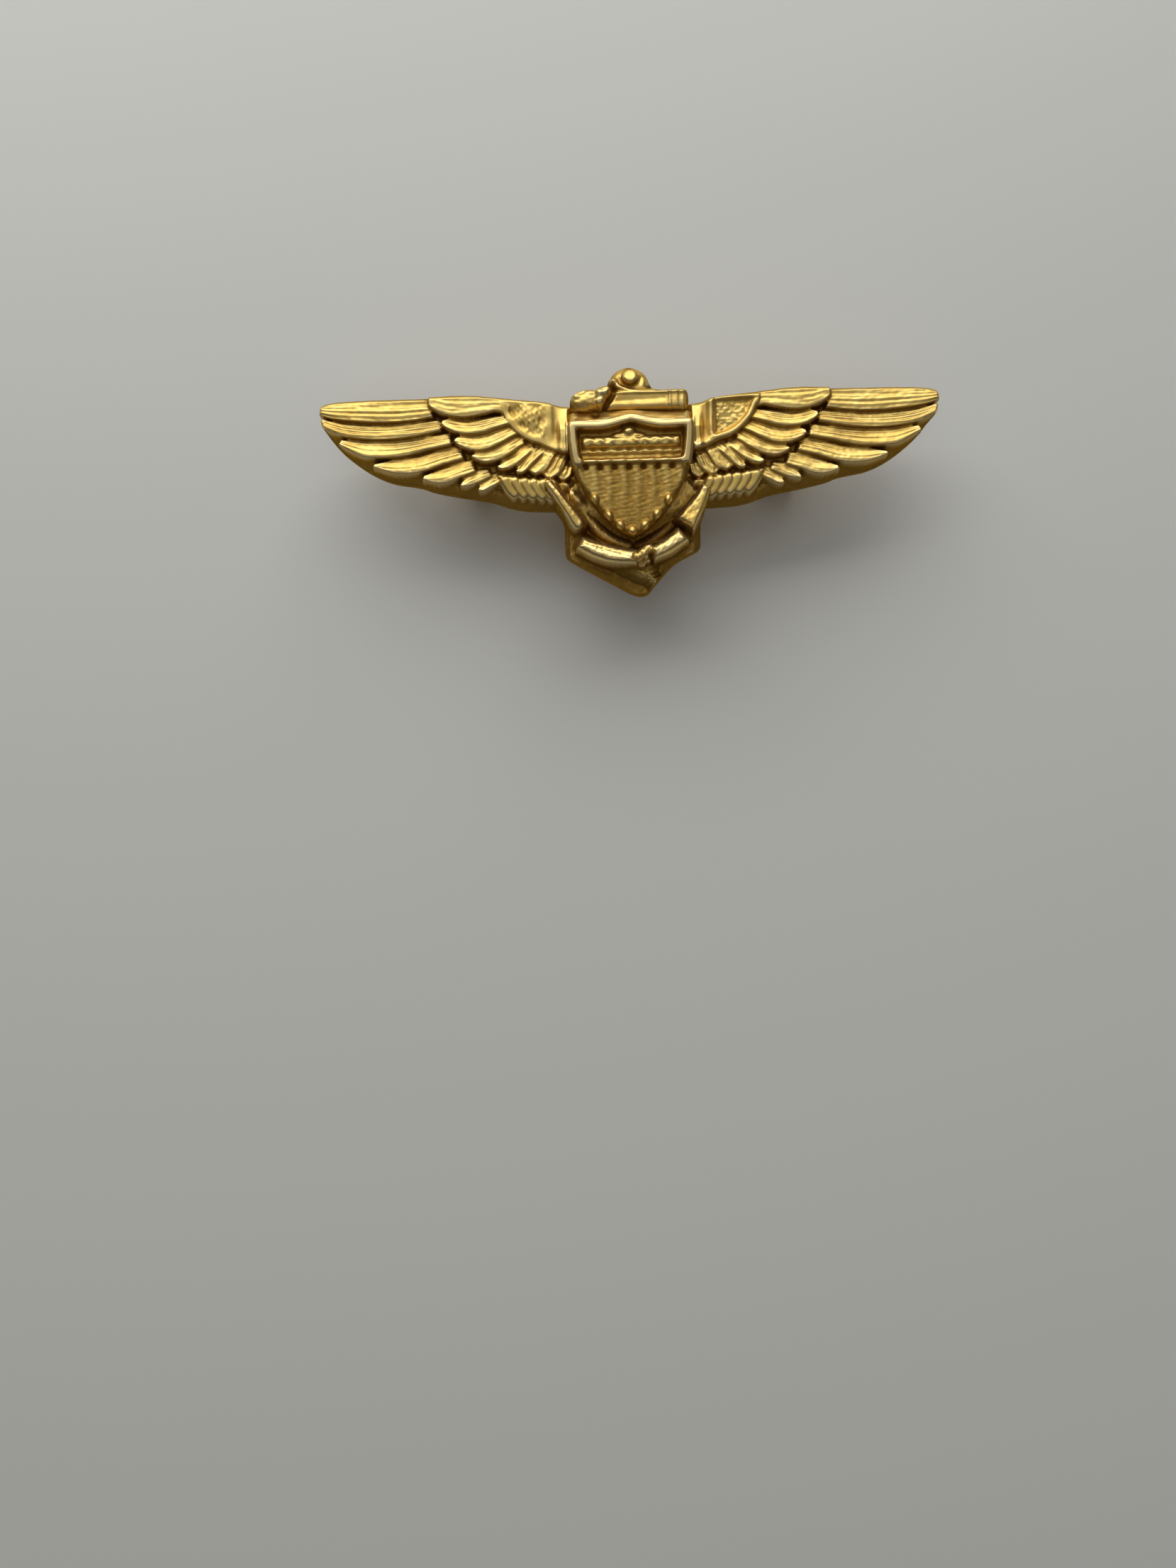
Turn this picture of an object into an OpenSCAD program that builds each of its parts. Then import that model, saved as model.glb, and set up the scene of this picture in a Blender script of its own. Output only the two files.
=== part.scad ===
// Pilot wings badge with a brooch back: a struck wing plate, an anchor and a shield riveted
// together, with a hinged pin tong and a turning safety catch soldered behind them.
// Millimetres. The badge lies face up: +X to its right wing tip, +Y to the top of the badge,
// +Z out of its face. Z = 0 is the surface that the brooch fittings stand on.

/* [Wings] */
// Width from wing tip to wing tip
wing_span = 31.8; // [27:0.1:40]
// Height of a wing, from its leading edge to its lowest feather
wing_height = 5.7; // [4.8:0.1:7]
// Thickness of the wing plate at its trimmed edge
flange_t = 0.9; // [0.6:0.1:1.2]
// Thickness of the web between the wings, which carries the anchor
web_t = 1.4; // [1.1:0.1:1.8]
// Height of the highest feathers above the back of the plate
wing_t = 2.2; // [1.9:0.1:3]
// How far the trimmed edge stands out past the feathers
flange_w = 0.15; // [0.1:0.05:0.3]

/* [Shield] */
// Width of the shield
shield_w = 6.4; // [5.2:0.1:7.8]
// Height of the shield, from its point to the peak of its top edge
shield_h = 6.2; // [5:0.1:7.6]
// Thickness of the shield at its border
shield_t = 1.1; // [0.8:0.1:1.6]
// Width of the raised border
border_w = 0.45; // [0.3:0.05:0.6]
// Depth of the field of pales below the border
field_depth = 0.35; // [0.2:0.05:0.5]
// Depth of the chief below the border
chief_depth = 0.7; // [0.4:0.05:0.75]
// Number of sunk pales in the field
pale_count = 7; // [5:2:9]
// Diameter of a shield stud
stud_d = 1; // [0.7:0.1:1.2]
// Distance between the two studs
stud_pitch = 2; // [1.4:0.1:2.4]

/* [Anchor] */
// Thickness of the anchor's plate between the web and the shield
anchor_plate_t = 0.6; // [0.4:0.1:1]
// Diameter of the ring boss
ring_d = 1.9; // [1.4:0.1:2.4]
// Diameter of the round stock
stock_d = 1.15; // [0.9:0.05:1.4]
// Length of the stock
stock_len = 5.9; // [4.8:0.1:7]
// Width of the arms
arm_w = 0.85; // [0.6:0.05:1.1]
// How far the crown reaches below the arms
crown_h = 1.45; // [1.1:0.05:1.8]
// Thickness of the anchor's arms above its plate
arm_t = 0.55; // [0.3:0.05:0.8]

/* [Brooch pin] */
// Distance between the hinge axis and the middle of the catch
pin_span = 16; // [12:0.5:20]
// Height of the pin line above the middle of the badge
pin_rise = 1.5; // [0.8:0.05:2]
// Diameter of the tong's wire
wire_d = 0.8; // [0.6:0.05:1]
// Gap from the back of the badge to the axis of the tong
pin_drop = 1.7; // [1.5:0.1:2.2]
// Diameter of the hinge rivet
rivet_d = 0.7; // [0.5:0.05:0.8]
// Diameter of the tong's eye
eye_d = 1.5; // [1.4:0.1:1.7]
// Thickness of a joint ear
ear_t = 0.45; // [0.3:0.05:0.6]
// Outer diameter of the ears and of the catch
fitting_d = 2.6; // [2.3:0.1:2.8]
// Thickness of the soldered patches
patch_t = 0.3; // [0.2:0.05:0.4]

/* [Catch] */
// Diameter of the turning sleeve
sleeve_d = 1.7; // [1.5:0.05:1.8]
// Width of the sleeve's slot and of the catch's mouth
mouth_w = 0.8; // [0.7:0.05:0.9]
// Length of each ring of the catch housing
catch_ring_l = 0.7; // [0.5:0.05:1]
// Width of the lever along the catch
lever_w = 0.8; // [0.6:0.05:1]
// Reach of the lever from the catch's axis
lever_r = 2; // [1.7:0.1:2.2]
// Angle of the lever towards the back of the badge, with the catch open
lever_angle = 30; // [20:1:32]

/* [Fits] */
// Clearance round a turning part
running_gap = 0.03; // [0.02:0.01:0.06]
// Clearance beside a turning part
side_gap = 0.05; // [0.03:0.01:0.1]
// Clearance round a fixed part in its seat
seat_gap = 0.02; // [0.01:0.01:0.05]

/* [Hidden] */
$fn = 64;
tiny = 0.01;

// Heights of the layers, from the table up.
axis_z = fitting_d / 2;
back_z = axis_z + pin_drop;
seat_z = back_z + web_t;
shield_z = seat_z + anchor_plate_t;
shield_top_z = shield_z + shield_t;

// The badge's own lengths down its middle, from the ring to the crown.
stock_gap = 0.3;
arms_gap = 0.35;
half_ring = ring_d / 2;
// The foot of the ring is hidden behind the stock.
ring_lap = ring_d * 0.38;
above_shield = stock_gap + stock_d - ring_lap + ring_d;
below_shield = arms_gap + arm_w + crown_h;
badge_h = above_shield + shield_h + below_shield;
shield_peak_y = badge_h / 2 - above_shield;
shield_point_y = shield_peak_y - shield_h;
shield_mid_y = (shield_peak_y + shield_point_y) / 2;
stock_y = shield_peak_y + stock_gap + stock_d / 2;
ring_y = badge_h / 2 - half_ring;
arms_y = shield_point_y - arms_gap - arm_w / 2;
crown_y = -badge_h / 2;

// The brooch line.
pin_y = pin_rise;
joint_x = -pin_span / 2;
catch_x = pin_span / 2;
eye_t = wire_d;
ear_gap = eye_t + 2 * side_gap;

gold = "goldenrod";
gold_dark = "darkgoldenrod";
gold_light = "palegoldenrod";

// ---------------------------------------------------------------- curves

function mix(a, b, t) = a + (b - a) * t;

// Unit normal on the left of the direction a to b.
function left_of(a, b) = let (d = b - a) [-d[1], d[0]] / norm(d);

// A point on the quadratic curve from a to c that b pulls.
function bow(a, b, c, t) = mix(mix(a, b, t), mix(b, c, t), t);

// A smooth run through the points, with n steps from each one to the next.
function smooth_run(p, n) = [
    for (i = [0 : len(p) - 2])
        let (a = p[max(i - 1, 0)], b = p[i], c = p[i + 1], d = p[min(i + 2, len(p) - 1)])
        for (k = [0 : n - 1])
            let (t = k / n)
            0.5 * (2 * b + (c - a) * t + (2 * a - 5 * b + 4 * c - d) * t * t
                   + (3 * b - a - 3 * c + d) * t * t * t),
    p[len(p) - 1]];

// The points of a closed outline, each moved inwards by d. The outline runs clockwise.
function inset(p, d) = [
    for (i = [0 : len(p) - 1])
        let (a = p[(i + len(p) - 1) % len(p)], b = p[i], c = p[(i + 1) % len(p)],
             n = left_of(a, b) + left_of(b, c))
        b - n / max(norm(n), 0.3) * d];

function flipped(p) = [for (i = [len(p) - 1 : -1 : 0]) [-p[i][0], p[i][1]]];

// A closed outline from its right half, which starts and ends on the middle line.
function both_halves(p) = concat(p, [for (q = flipped(p)) if (q[0] < -tiny) q]);

module both_sides() {
    children();
    mirror([1, 0, 0]) children();
}

// ---------------------------------------------------------------- wings

// A wing is drawn 12.7 long and 5.7 high, from its root line outwards, and stretched to size.
drawn_l = 12.7;
drawn_h = 5.7;
root_x = shield_w / 2;
wing_l = wing_span / 2 - root_x;
lead_y = 4.5;

function on_wing(p) = [root_x + p[0] * wing_l / drawn_l,
                       lead_y - (4.5 - p[1]) * wing_height / drawn_h];

// Outline of the trimmed edge, from the leading edge at the root, round the tip, to the root.
wing_edge = [[0.35, 3.8], [1.1, 4.2], [2.3, 4.35], [4.3, 4.45], [6.2, 4.5], [7.8, 4.42],
             [11.3, 4.45], [12.4, 4.35], [12.7, 3.9], [12.6, 3.3], [12, 2.5], [11.2, 1.8],
             [10, 1.15], [9, 0.6], [8, 0.35], [7, -0.05], [5.8, -0.3], [4.6, -0.6],
             [3.6, -0.8], [2.8, -1.1], [1.8, -1.2], [1, -1.15]];

// Feathers: [root x, root y, tip x, tip y, bow below the straight line, half width].
primaries = [[7, 3.95, 12.6, 3.8, 0.06, 0.46],
             [6.6, 3.15, 12.4, 3.15, 0.35, 0.4],
             [6.1, 2.35, 11.6, 2.25, 0.5, 0.4],
             [5.6, 1.6, 9.7, 1, 0.35, 0.36],
             [4.9, 1.15, 7.2, 0.2, 0.12, 0.31],
             [4.1, 0.75, 5.7, -0.15, 0.06, 0.28],
             [3.6, 0.45, 4.75, -0.35, 0.02, 0.24]];
secondaries = [[3.3, 4, 7.2, 3.95, 0.04, 0.46],
               [3.2, 3.05, 6.5, 3.05, 0.32, 0.36],
               [3.1, 2.55, 5.95, 2.15, 0.4, 0.33],
               [2.7, 2.1, 5.1, 1.4, 0.35, 0.29],
               [2.3, 1.9, 3.6, 0.8, 0.2, 0.26],
               [1.8, 1.7, 2.6, 0.45, 0.15, 0.25],
               [1.3, 1.55, 1.75, 0.25, 0.08, 0.24],
               [0.8, 1.4, 0.9, 0.1, 0.04, 0.24]];
// The short feathers below them, which turn back towards the shield.
underwing_count = 5;

function feather_centre(f, t) =
    let (a = [f[0], f[1]], c = [f[2], f[3]], b = (a + c) / 2 - [0, 2 * f[4]])
    bow(a, b, c, t);

// The vane is a little narrower at its root and rounded at its tip.
function vane_share(t) = t < 0.4 ? mix(0.75, 1, t / 0.4) : sqrt(1 - pow((t - 0.4) / 0.6, 2.6));

function feather_side(f, side, ts) = [
    for (t = ts)
        let (c = feather_centre(f, t), n = left_of(feather_centre(f, t - 0.02),
                                                   feather_centre(f, t + 0.02)))
        c + side * n * f[5] * vane_share(t)];

module feather_2d(f) {
    ts = [0, 0.2, 0.4, 0.6, 0.78, 0.9, 0.97, 1];
    back = [for (i = [len(ts) - 2 : -1 : 0]) ts[i]];
    points = concat(feather_side(f, 1, ts), feather_side(f, -1, back));
    polygon([for (p = points) on_wing(p)]);
}

module raised_feather(f, top_z) {
    translate([0, 0, back_z + flange_t]) linear_extrude(top_z - back_z - flange_t) feather_2d(f);
}

module wing_relief() {
    top = back_z + wing_t;
    for (i = [0 : len(primaries) - 1]) raised_feather(primaries[i], top - 0.2 - 0.05 * i);
    for (i = [0 : len(secondaries) - 1]) raised_feather(secondaries[i], top - 0.02 - 0.03 * i);
    for (i = [0 : underwing_count - 1]) {
        x = 3.3 - 0.58 * i;
        y = 0.25 - 0.1 * i;
        raised_feather([x, y, x - 0.55, y - 1.05, 0, 0.26], top - 0.5 - 0.04 * i);
    }
    shoulder = [[0.8, 4.1], [3.1, 4.2], [3.3, 3.7], [2.7, 2.7], [2, 2.1], [1.2, 1.85],
                [0.3, 1.4], [0.25, 1.7], [0.6, 2.6]];
    translate([0, 0, back_z + flange_t])
        linear_extrude(wing_t - flange_t) polygon([for (p = shoulder) on_wing(p)]);
}

module wing_blank() {
    edge = smooth_run([for (p = wing_edge) on_wing(p)], 3);
    rim = concat([[root_x - 1, edge[0][1]]], edge, [[root_x - 1, edge[len(edge) - 1][1]]]);
    core = inset(rim, flange_w);
    linear_extrude(flange_t) polygon(rim);
    linear_extrude(web_t - tiny) polygon(core);
}

web_top_y = on_wing(wing_edge[0])[1];
web_low_y = on_wing(wing_edge[len(wing_edge) - 1])[1];

module web() {
    translate([-root_x, web_low_y, 0]) cube([2 * root_x, web_top_y - web_low_y, web_t]);
}

module wing_plate() {
    color(gold) difference() {
        union() {
            translate([0, 0, back_z]) web();
            both_sides() {
                translate([0, 0, back_z]) wing_blank();
                wing_relief();
            }
        }
        translate([0, 0, seat_z]) linear_extrude(wing_t) both_sides() fluke_2d(seat_gap);
        translate([0, 0, seat_z]) linear_extrude(wing_t) square([2 * root_x, 2 * badge_h], true);
        stud_holes(back_z - tiny, seat_z + tiny);
    }
}

// ---------------------------------------------------------------- anchor

// A fluke lies over the root of the wing, wider towards the arms.
fluke_top = [root_x + 0.75, web_low_y + 0.95];
fluke_foot = [root_x - 0.5, arms_y + arm_w / 2 + 0.95];
fluke_top_w = 0.5;
fluke_foot_w = 0.85;

function half_round(c, r, start) = [for (k = [0 : 22.5 : 180]) c + r * [cos(start + k), sin(start + k)]];

module fluke_2d(grow) {
    run = fluke_foot - fluke_top;
    turn = atan2(run[1], run[0]);
    polygon(concat(half_round(fluke_foot, fluke_foot_w / 2 + grow, turn - 90),
                   half_round(fluke_top, fluke_top_w / 2 + grow, turn + 90)));
}

// The arms follow the point of the shield, and the crown reaches down between them.
arm_end = [fluke_foot[0] - 0.05, fluke_foot[1] - fluke_foot_w / 2 - 0.4];
arm_pull = [arm_end[0] * 0.45, arms_y + 0.05];

// A point on the middle line of the arms, from the left end at -1 to the right end at 1.
function arm_mid(t) = let (p = bow([0, arms_y], arm_pull, arm_end, abs(t))) [sign(t) * p[0], p[1]];

function arm_side(side, ts) = [
    for (t = ts) arm_mid(t) + side * left_of(arm_mid(t - 0.02), arm_mid(t + 0.02)) * arm_w / 2];

module arms_2d() {
    polygon(concat(arm_side(1, [-1 : 0.125 : 1]), arm_side(-1, [1 : -0.125 : -1])));
}

module crown_2d(grow) {
    bill = [arm_end[0] + 0.7, arm_end[1] - 0.1];
    side = [bow([0.45, crown_y + 0.1], [arm_end[0] * 0.5, arms_y - 0.75], bill, 0.33),
            bow([0.45, crown_y + 0.1], [arm_end[0] * 0.5, arms_y - 0.75], bill, 0.66)];
    half = concat([[0, crown_y - grow], [0.45, crown_y + 0.1 - grow]], side - [[0, grow], [0, grow]],
                  [bill + [grow, -grow], [bill[0] + grow, bill[1] + 0.7],
                   [root_x + 0.15 + grow, web_low_y - seat_gap], [0, web_low_y - seat_gap]]);
    polygon(concat(half, [for (p = flipped(half)) if (p[0] < -tiny) p]));
}

// A round bar from a to b.
module bar(a, b, d) {
    run = b - a;
    translate(a) rotate([0, acos(run[2] / norm(run)), atan2(run[1], run[0])])
        cylinder(h = norm(run), d = d);
}

stock_z = seat_z + stock_d / 2 + 0.02;
cable_d = 0.6;

module stock() {
    collar_l = 0.95;
    translate([-stock_len / 2, stock_y, stock_z]) rotate([0, 90, 0])
        cylinder(h = stock_len, d = stock_d);
    translate([-stock_len / 2 + 0.1, stock_y - stock_d * 0.35, seat_z])
        cube([stock_len - 0.2, stock_d * 0.7, stock_d / 2]);
    // The collars sit a little high, so that they clear the web.
    for (side = [-1, 1]) translate([side * (stock_len - collar_l) / 2, stock_y, stock_z + 0.09])
        rotate([0, 90, 0]) cylinder(h = collar_l - 0.2, d = stock_d + 0.14, center = true);
    // The cable crosses the left half of the stock.
    bar([-0.5, stock_y + 0.5, stock_z + 0.2], [-1.85, stock_y - 0.45, stock_z + 0.4], cable_d);
}

module ring() {
    foot_z = seat_z - 0.7;
    dome_h = 0.45;
    // The foot reaches down behind the top edge of the web, and stops short of it.
    difference() {
        translate([0, ring_y, foot_z]) cylinder(h = stock_z - foot_z, d = ring_d);
        translate([-root_x, web_low_y, foot_z - 1])
            cube([2 * root_x, web_top_y + seat_gap - web_low_y, seat_z - foot_z + 1]);
    }
    translate([0, ring_y, stock_z]) cylinder(h = dome_h, d1 = ring_d, d2 = ring_d * 0.6);
    translate([-ring_d * 0.45, stock_y, seat_z])
        cube([ring_d * 0.9, ring_y - stock_y, stock_d / 2 - 0.1]);
}

module anchor() {
    full_t = web_t + anchor_plate_t;
    low_t = full_t * 0.55;
    color(gold_dark) difference() {
        union() {
            stock();
            ring();
            translate([0, 0, seat_z]) linear_extrude(anchor_plate_t) shield_2d(border_w * 0.9);
            translate([-0.7, shield_mid_y, seat_z])
                cube([1.4, stock_y - shield_mid_y, anchor_plate_t]);
            translate([-0.7, web_low_y - 0.5, seat_z]) mirror([0, 1, 0])
                cube([1.4, web_low_y - 0.5 - arms_y, anchor_plate_t]);
            translate([0, 0, seat_z]) linear_extrude(anchor_plate_t + arm_t)
                both_sides() fluke_2d(0);
            translate([0, 0, back_z]) linear_extrude(full_t + arm_t) arms_2d();
            translate([0, 0, back_z]) linear_extrude(low_t) crown_2d(0);
            translate([0, 0, back_z]) linear_extrude(full_t) crown_2d(-0.3);
            // The knot of the cable at the crown.
            translate([0.5, arms_y, seat_z]) cylinder(h = anchor_plate_t + arm_t + 0.2, d = 0.9);
        }
        stud_holes(seat_z - tiny, shield_z + tiny);
    }
}

// ---------------------------------------------------------------- shield

// Right half of the shield in its own width and height, from the peak to the point.
shield_half = [[0, 1], [0.09, 0.985], [0.28, 0.93], [0.5, 0.925], [0.9, 0.935], [0.99, 0.9],
               [1, 0.83], [0.985, 0.68], [0.92, 0.52], [0.78, 0.36], [0.6, 0.22],
               [0.38, 0.1], [0.16, 0.02], [0, 0]];

// The outline, or the same outline drawn smaller with a rim of width d left round it.
function shield_outline(d) = both_halves(smooth_run([for (p = shield_half)
    [p[0] * (shield_w / 2 - d),
     shield_point_y + 1.6 * d + p[1] * (shield_h - 2.7 * d)]], 3));

module shield_2d(d) {
    polygon(shield_outline(d));
}

chief_low_y = shield_point_y + shield_h * 0.605;
chief_step = 0.25;
pale_pitch = (shield_w - 2 * border_w) / pale_count;

// The part of the field that lies inside the border, between two heights.
module inside_2d(low_y, high_y) {
    intersection() {
        shield_2d(border_w);
        translate([-shield_w, low_y]) square([2 * shield_w, high_y - low_y]);
    }
}

module pale_channels() {
    for (i = [0 : pale_count - 1]) {
        x = (i - (pale_count - 1) / 2) * pale_pitch;
        intersection() {
            shield_2d(border_w + tiny);
            translate([x - pale_pitch * 0.3, shield_point_y])
                square([pale_pitch * 0.6, chief_low_y - chief_step - 0.1 - shield_point_y]);
        }
    }
}

module chief_charges() {
    floor_z = shield_top_z - chief_depth;
    inner_h = shield_peak_y - border_w - chief_low_y;
    half_l = shield_w / 2 - border_w - 0.2;
    y = chief_low_y + 0.5 * inner_h;
    translate([0, y, floor_z + 0.08]) rotate([0, 90, 0])
        cylinder(h = 2 * half_l, d = 0.42, center = true);
    translate([0, chief_low_y + 0.22 * inner_h, floor_z]) rotate([0, 90, 0])
        cylinder(h = 2 * half_l, d = 0.22, center = true);
    translate([0, y + 0.5, floor_z - 0.1]) cylinder(h = 0.5, d = 0.5);
}

module shield() {
    field_z = shield_top_z - field_depth;
    color(gold_light) {
        difference() {
            translate([0, 0, shield_z]) linear_extrude(shield_t) shield_2d(0);
            translate([0, 0, field_z]) linear_extrude(1)
                inside_2d(shield_point_y, chief_low_y - chief_step);
            translate([0, 0, shield_top_z - chief_depth]) linear_extrude(1)
                inside_2d(chief_low_y, shield_peak_y);
            translate([0, 0, field_z - 0.15]) linear_extrude(1) pale_channels();
            stud_holes(shield_z - tiny, shield_z + stud_seat_t);
        }
        chief_charges();
    }
}

// ---------------------------------------------------------------- studs

stud_head_d = stud_d + 0.7;
stud_head_t = 0.35;
stud_seat_t = 0.25;

module at_studs() {
    middle_y = (web_low_y + shield_peak_y) / 2;
    for (side = [-1, 1]) translate([0, middle_y + side * stud_pitch / 2, 0]) children();
}

module stud_holes(low_z, high_z) {
    at_studs() translate([0, 0, low_z]) cylinder(h = high_z - low_z, d = stud_d + 2 * seat_gap);
}

// Each stud is soldered into the back of the shield, and its tail is peened over the plate.
module shield_studs() {
    color(gold_dark) at_studs() {
        translate([0, 0, back_z - tiny])
            cylinder(h = shield_z + stud_seat_t - back_z, d = stud_d);
        translate([0, 0, back_z - stud_head_t])
            cylinder(h = stud_head_t, d1 = stud_head_d - 0.5, d2 = stud_head_d);
    }
}

// ---------------------------------------------------------------- joint

patch_z = back_z - patch_t;
joint_base_t = 0.3;
joint_base_z = patch_z - joint_base_t;
joint_w = ear_gap + 2 * ear_t;

// A flat patch with round ends, soldered to the back of the badge.
module patch(x, length, width) {
    translate([x, pin_y, patch_z]) linear_extrude(patch_t) {
        square([length - width, width - 2 * tiny], true);
        for (side = [-1, 1]) translate([side * (length - width) / 2, 0]) circle(d = width);
    }
}

module joint_patch() {
    color(gold) patch(joint_x, fitting_d + 1.4, joint_w + 0.5);
}

module joint_ears() {
    color(gold_dark) difference() {
        translate([joint_x, pin_y, 0]) union() {
            translate([-fitting_d / 2, -joint_w / 2, joint_base_z])
                cube([fitting_d, joint_w, joint_base_t]);
            for (side = [-1, 1])
                translate([0, side * (ear_gap + ear_t) / 2, 0]) {
                    translate([0, ear_t / 2, axis_z]) rotate([90, 0, 0])
                        cylinder(h = ear_t, d = fitting_d);
                    translate([-fitting_d / 2, -ear_t / 2, axis_z])
                        cube([fitting_d, ear_t, joint_base_z + tiny - axis_z]);
                }
        }
        translate([joint_x, pin_y + joint_w, axis_z]) rotate([90, 0, 0])
            cylinder(h = 2 * joint_w, d = rivet_d + 2 * seat_gap);
    }
}

rivet_head_t = 0.2;

module joint_rivet() {
    head_d = rivet_d + 0.6;
    color(gold_light) translate([joint_x, pin_y, axis_z]) rotate([90, 0, 0]) {
        cylinder(h = joint_w + rivet_head_t, d = rivet_d, center = true);
        for (side = [0, 1]) mirror([0, 0, side]) translate([0, 0, joint_w / 2])
            cylinder(h = rivet_head_t, d1 = head_d, d2 = head_d - 0.3);
    }
}

// ---------------------------------------------------------------- tong

neck_l = fitting_d / 2 + 0.3;
taper_l = 4.2;
point_d = 0.2;
tip_past = 0.6;
catch_l = 2 * catch_ring_l + lever_w + 2 * side_gap;
tong_l = pin_span + catch_l / 2 + tip_past;

// The tong is one wire: a flat eye, a squared neck, a round shank and a ground point.
module pin_tong() {
    color(gold) translate([joint_x, pin_y, axis_z]) difference() {
        union() {
            rotate([90, 0, 0]) cylinder(h = eye_t, d = eye_d, center = true);
            translate([0, -eye_t / 2, -wire_d / 2]) cube([neck_l, eye_t, wire_d]);
            translate([neck_l - tiny, 0, 0]) rotate([0, 90, 0])
                cylinder(h = tong_l - taper_l - neck_l + 2 * tiny, d = wire_d);
            translate([tong_l - taper_l, 0, 0]) rotate([0, 90, 0])
                cylinder(h = taper_l, d1 = wire_d, d2 = point_d);
        }
        rotate([90, 0, 0]) cylinder(h = 2 * eye_t, d = rivet_d + 2 * running_gap, center = true);
    }
}

// ---------------------------------------------------------------- catch

catch_block_w = 1.6;
ring_bore_d = sleeve_d + 2 * running_gap;

module catch_patch() {
    color(gold) patch(catch_x, catch_l + 1.4, joint_w + 0.5);
}

// Slot from the axis out through the side that faces away from the badge.
module mouth(length) {
    translate([-length / 2, -mouth_w / 2, -fitting_d]) cube([length, mouth_w, fitting_d]);
}

module catch_housing() {
    block_low = sleeve_d / 2 + 0.15;
    color(gold_dark) translate([catch_x, pin_y, axis_z]) difference() {
        union() {
            for (side = [-1, 1])
                translate([side * (catch_l - catch_ring_l) / 2, 0, 0]) rotate([0, 90, 0])
                    cylinder(h = catch_ring_l, d = fitting_d, center = true);
            translate([-catch_l / 2, -catch_block_w / 2, block_low])
                cube([catch_l, catch_block_w, patch_z - axis_z - block_low]);
        }
        rotate([0, 90, 0]) cylinder(h = 2 * catch_l, d = ring_bore_d, center = true);
        mouth(2 * catch_l);
    }
}

// The sleeve turns in the two rings, and its lever moves in the gap between them.
module catch_sleeve() {
    lever_t = 0.45;
    color(gold_light) translate([catch_x, pin_y, axis_z]) {
        difference() {
            rotate([0, 90, 0]) cylinder(h = catch_l, d = sleeve_d, center = true);
            rotate([0, 90, 0]) cylinder(h = 2 * catch_l, d = mouth_w, center = true);
            mouth(2 * catch_l);
        }
        rotate([lever_angle, 0, 0]) {
            translate([-lever_w / 2, (mouth_w + sleeve_d) / 4, -lever_t / 2])
                cube([lever_w, lever_r - (mouth_w + sleeve_d) / 4 - lever_t / 2, lever_t]);
            translate([0, lever_r - lever_t / 2, 0]) rotate([0, 90, 0])
                cylinder(h = lever_w, d = lever_t + 0.15, center = true);
        }
    }
}

wing_plate();
anchor();
shield();
shield_studs();
joint_patch();
joint_ears();
joint_rivet();
pin_tong();
catch_patch();
catch_housing();
catch_sleeve();
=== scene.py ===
import math

import bmesh
import bpy
import numpy as np
from mathutils import Matrix, Vector


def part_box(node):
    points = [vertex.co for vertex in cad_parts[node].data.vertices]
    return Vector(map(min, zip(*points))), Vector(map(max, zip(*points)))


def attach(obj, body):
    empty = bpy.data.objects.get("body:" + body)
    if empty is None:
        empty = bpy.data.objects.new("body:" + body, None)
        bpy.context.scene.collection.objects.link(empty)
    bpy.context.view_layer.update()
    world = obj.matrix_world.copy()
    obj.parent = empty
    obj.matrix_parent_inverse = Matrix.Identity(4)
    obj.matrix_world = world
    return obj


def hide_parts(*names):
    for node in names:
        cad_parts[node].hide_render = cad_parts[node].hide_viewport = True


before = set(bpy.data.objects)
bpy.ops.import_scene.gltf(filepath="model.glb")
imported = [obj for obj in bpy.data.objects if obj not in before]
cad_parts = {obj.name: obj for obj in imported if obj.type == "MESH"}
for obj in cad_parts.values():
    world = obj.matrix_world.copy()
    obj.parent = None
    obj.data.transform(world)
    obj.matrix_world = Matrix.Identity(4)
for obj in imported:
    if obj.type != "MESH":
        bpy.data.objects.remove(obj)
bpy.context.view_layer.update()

# ------------------------------------------------------------------ wing plate
# Both wings and the web between them are one piece of brass, struck in a die from the front and
# trimmed round the edge, then gilt. The feathers overlap like tiles, each with its own rounded edge.
# The plate carries everything else: the anchor and shield on its face, the brooch fittings behind.
# Sizes are in millimetres, and heights on the badge are measured from its flat back.
MM = 0.001
plate_low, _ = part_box("wing_plate")
back_z = plate_low.z / MM
web_top = 1.4


def smooth_run(points, n):
    """A smooth curve through the points, with n steps between neighbours."""
    p = np.array(points, float)
    p = np.vstack([2 * p[0] - p[1], p, 2 * p[-1] - p[-2]])
    out = []
    for i in range(1, len(p) - 2):
        t = np.arange(n)[:, None] / n
        a, b, c, d = p[i - 1], p[i], p[i + 1], p[i + 2]
        out.append(0.5 * (2 * b + (c - a) * t + (2 * a - 5 * b + 4 * c - d) * t ** 2
                          + (3 * b - a - 3 * c + d) * t ** 3))
    out.append(p[-2][None])
    return np.vstack(out)


def distance_to(line, x, y):
    """Distance from each point to an open line, and how far along the line it is from 0 to 1."""
    best = np.full(x.shape, 1e9)
    along = np.zeros(x.shape)
    steps = np.hypot(*np.diff(line, axis=0).T)
    run = np.concatenate([[0], np.cumsum(steps)])
    for (ax, ay), (bx, by), s0, s in zip(line[:-1], line[1:], run[:-1], steps):
        t = np.clip(((x - ax) * (bx - ax) + (y - ay) * (by - ay)) / max(s * s, 1e-12), 0, 1)
        d = np.hypot(x - ax - t * (bx - ax), y - ay - t * (by - ay))
        near = d < best
        best[near] = d[near]
        along[near] = (s0 + t[near] * s) / run[-1]
    return best, along


def inside(line, x, y):
    """Which points lie inside a closed line."""
    hit = np.zeros(x.shape, bool)
    for (ax, ay), (bx, by) in zip(line, np.roll(line, -1, axis=0)):
        if ay == by:
            continue
        hit ^= ((ay > y) != (by > y)) & (x < (bx - ax) * (y - ay) / (by - ay) + ax)
    return hit


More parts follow.
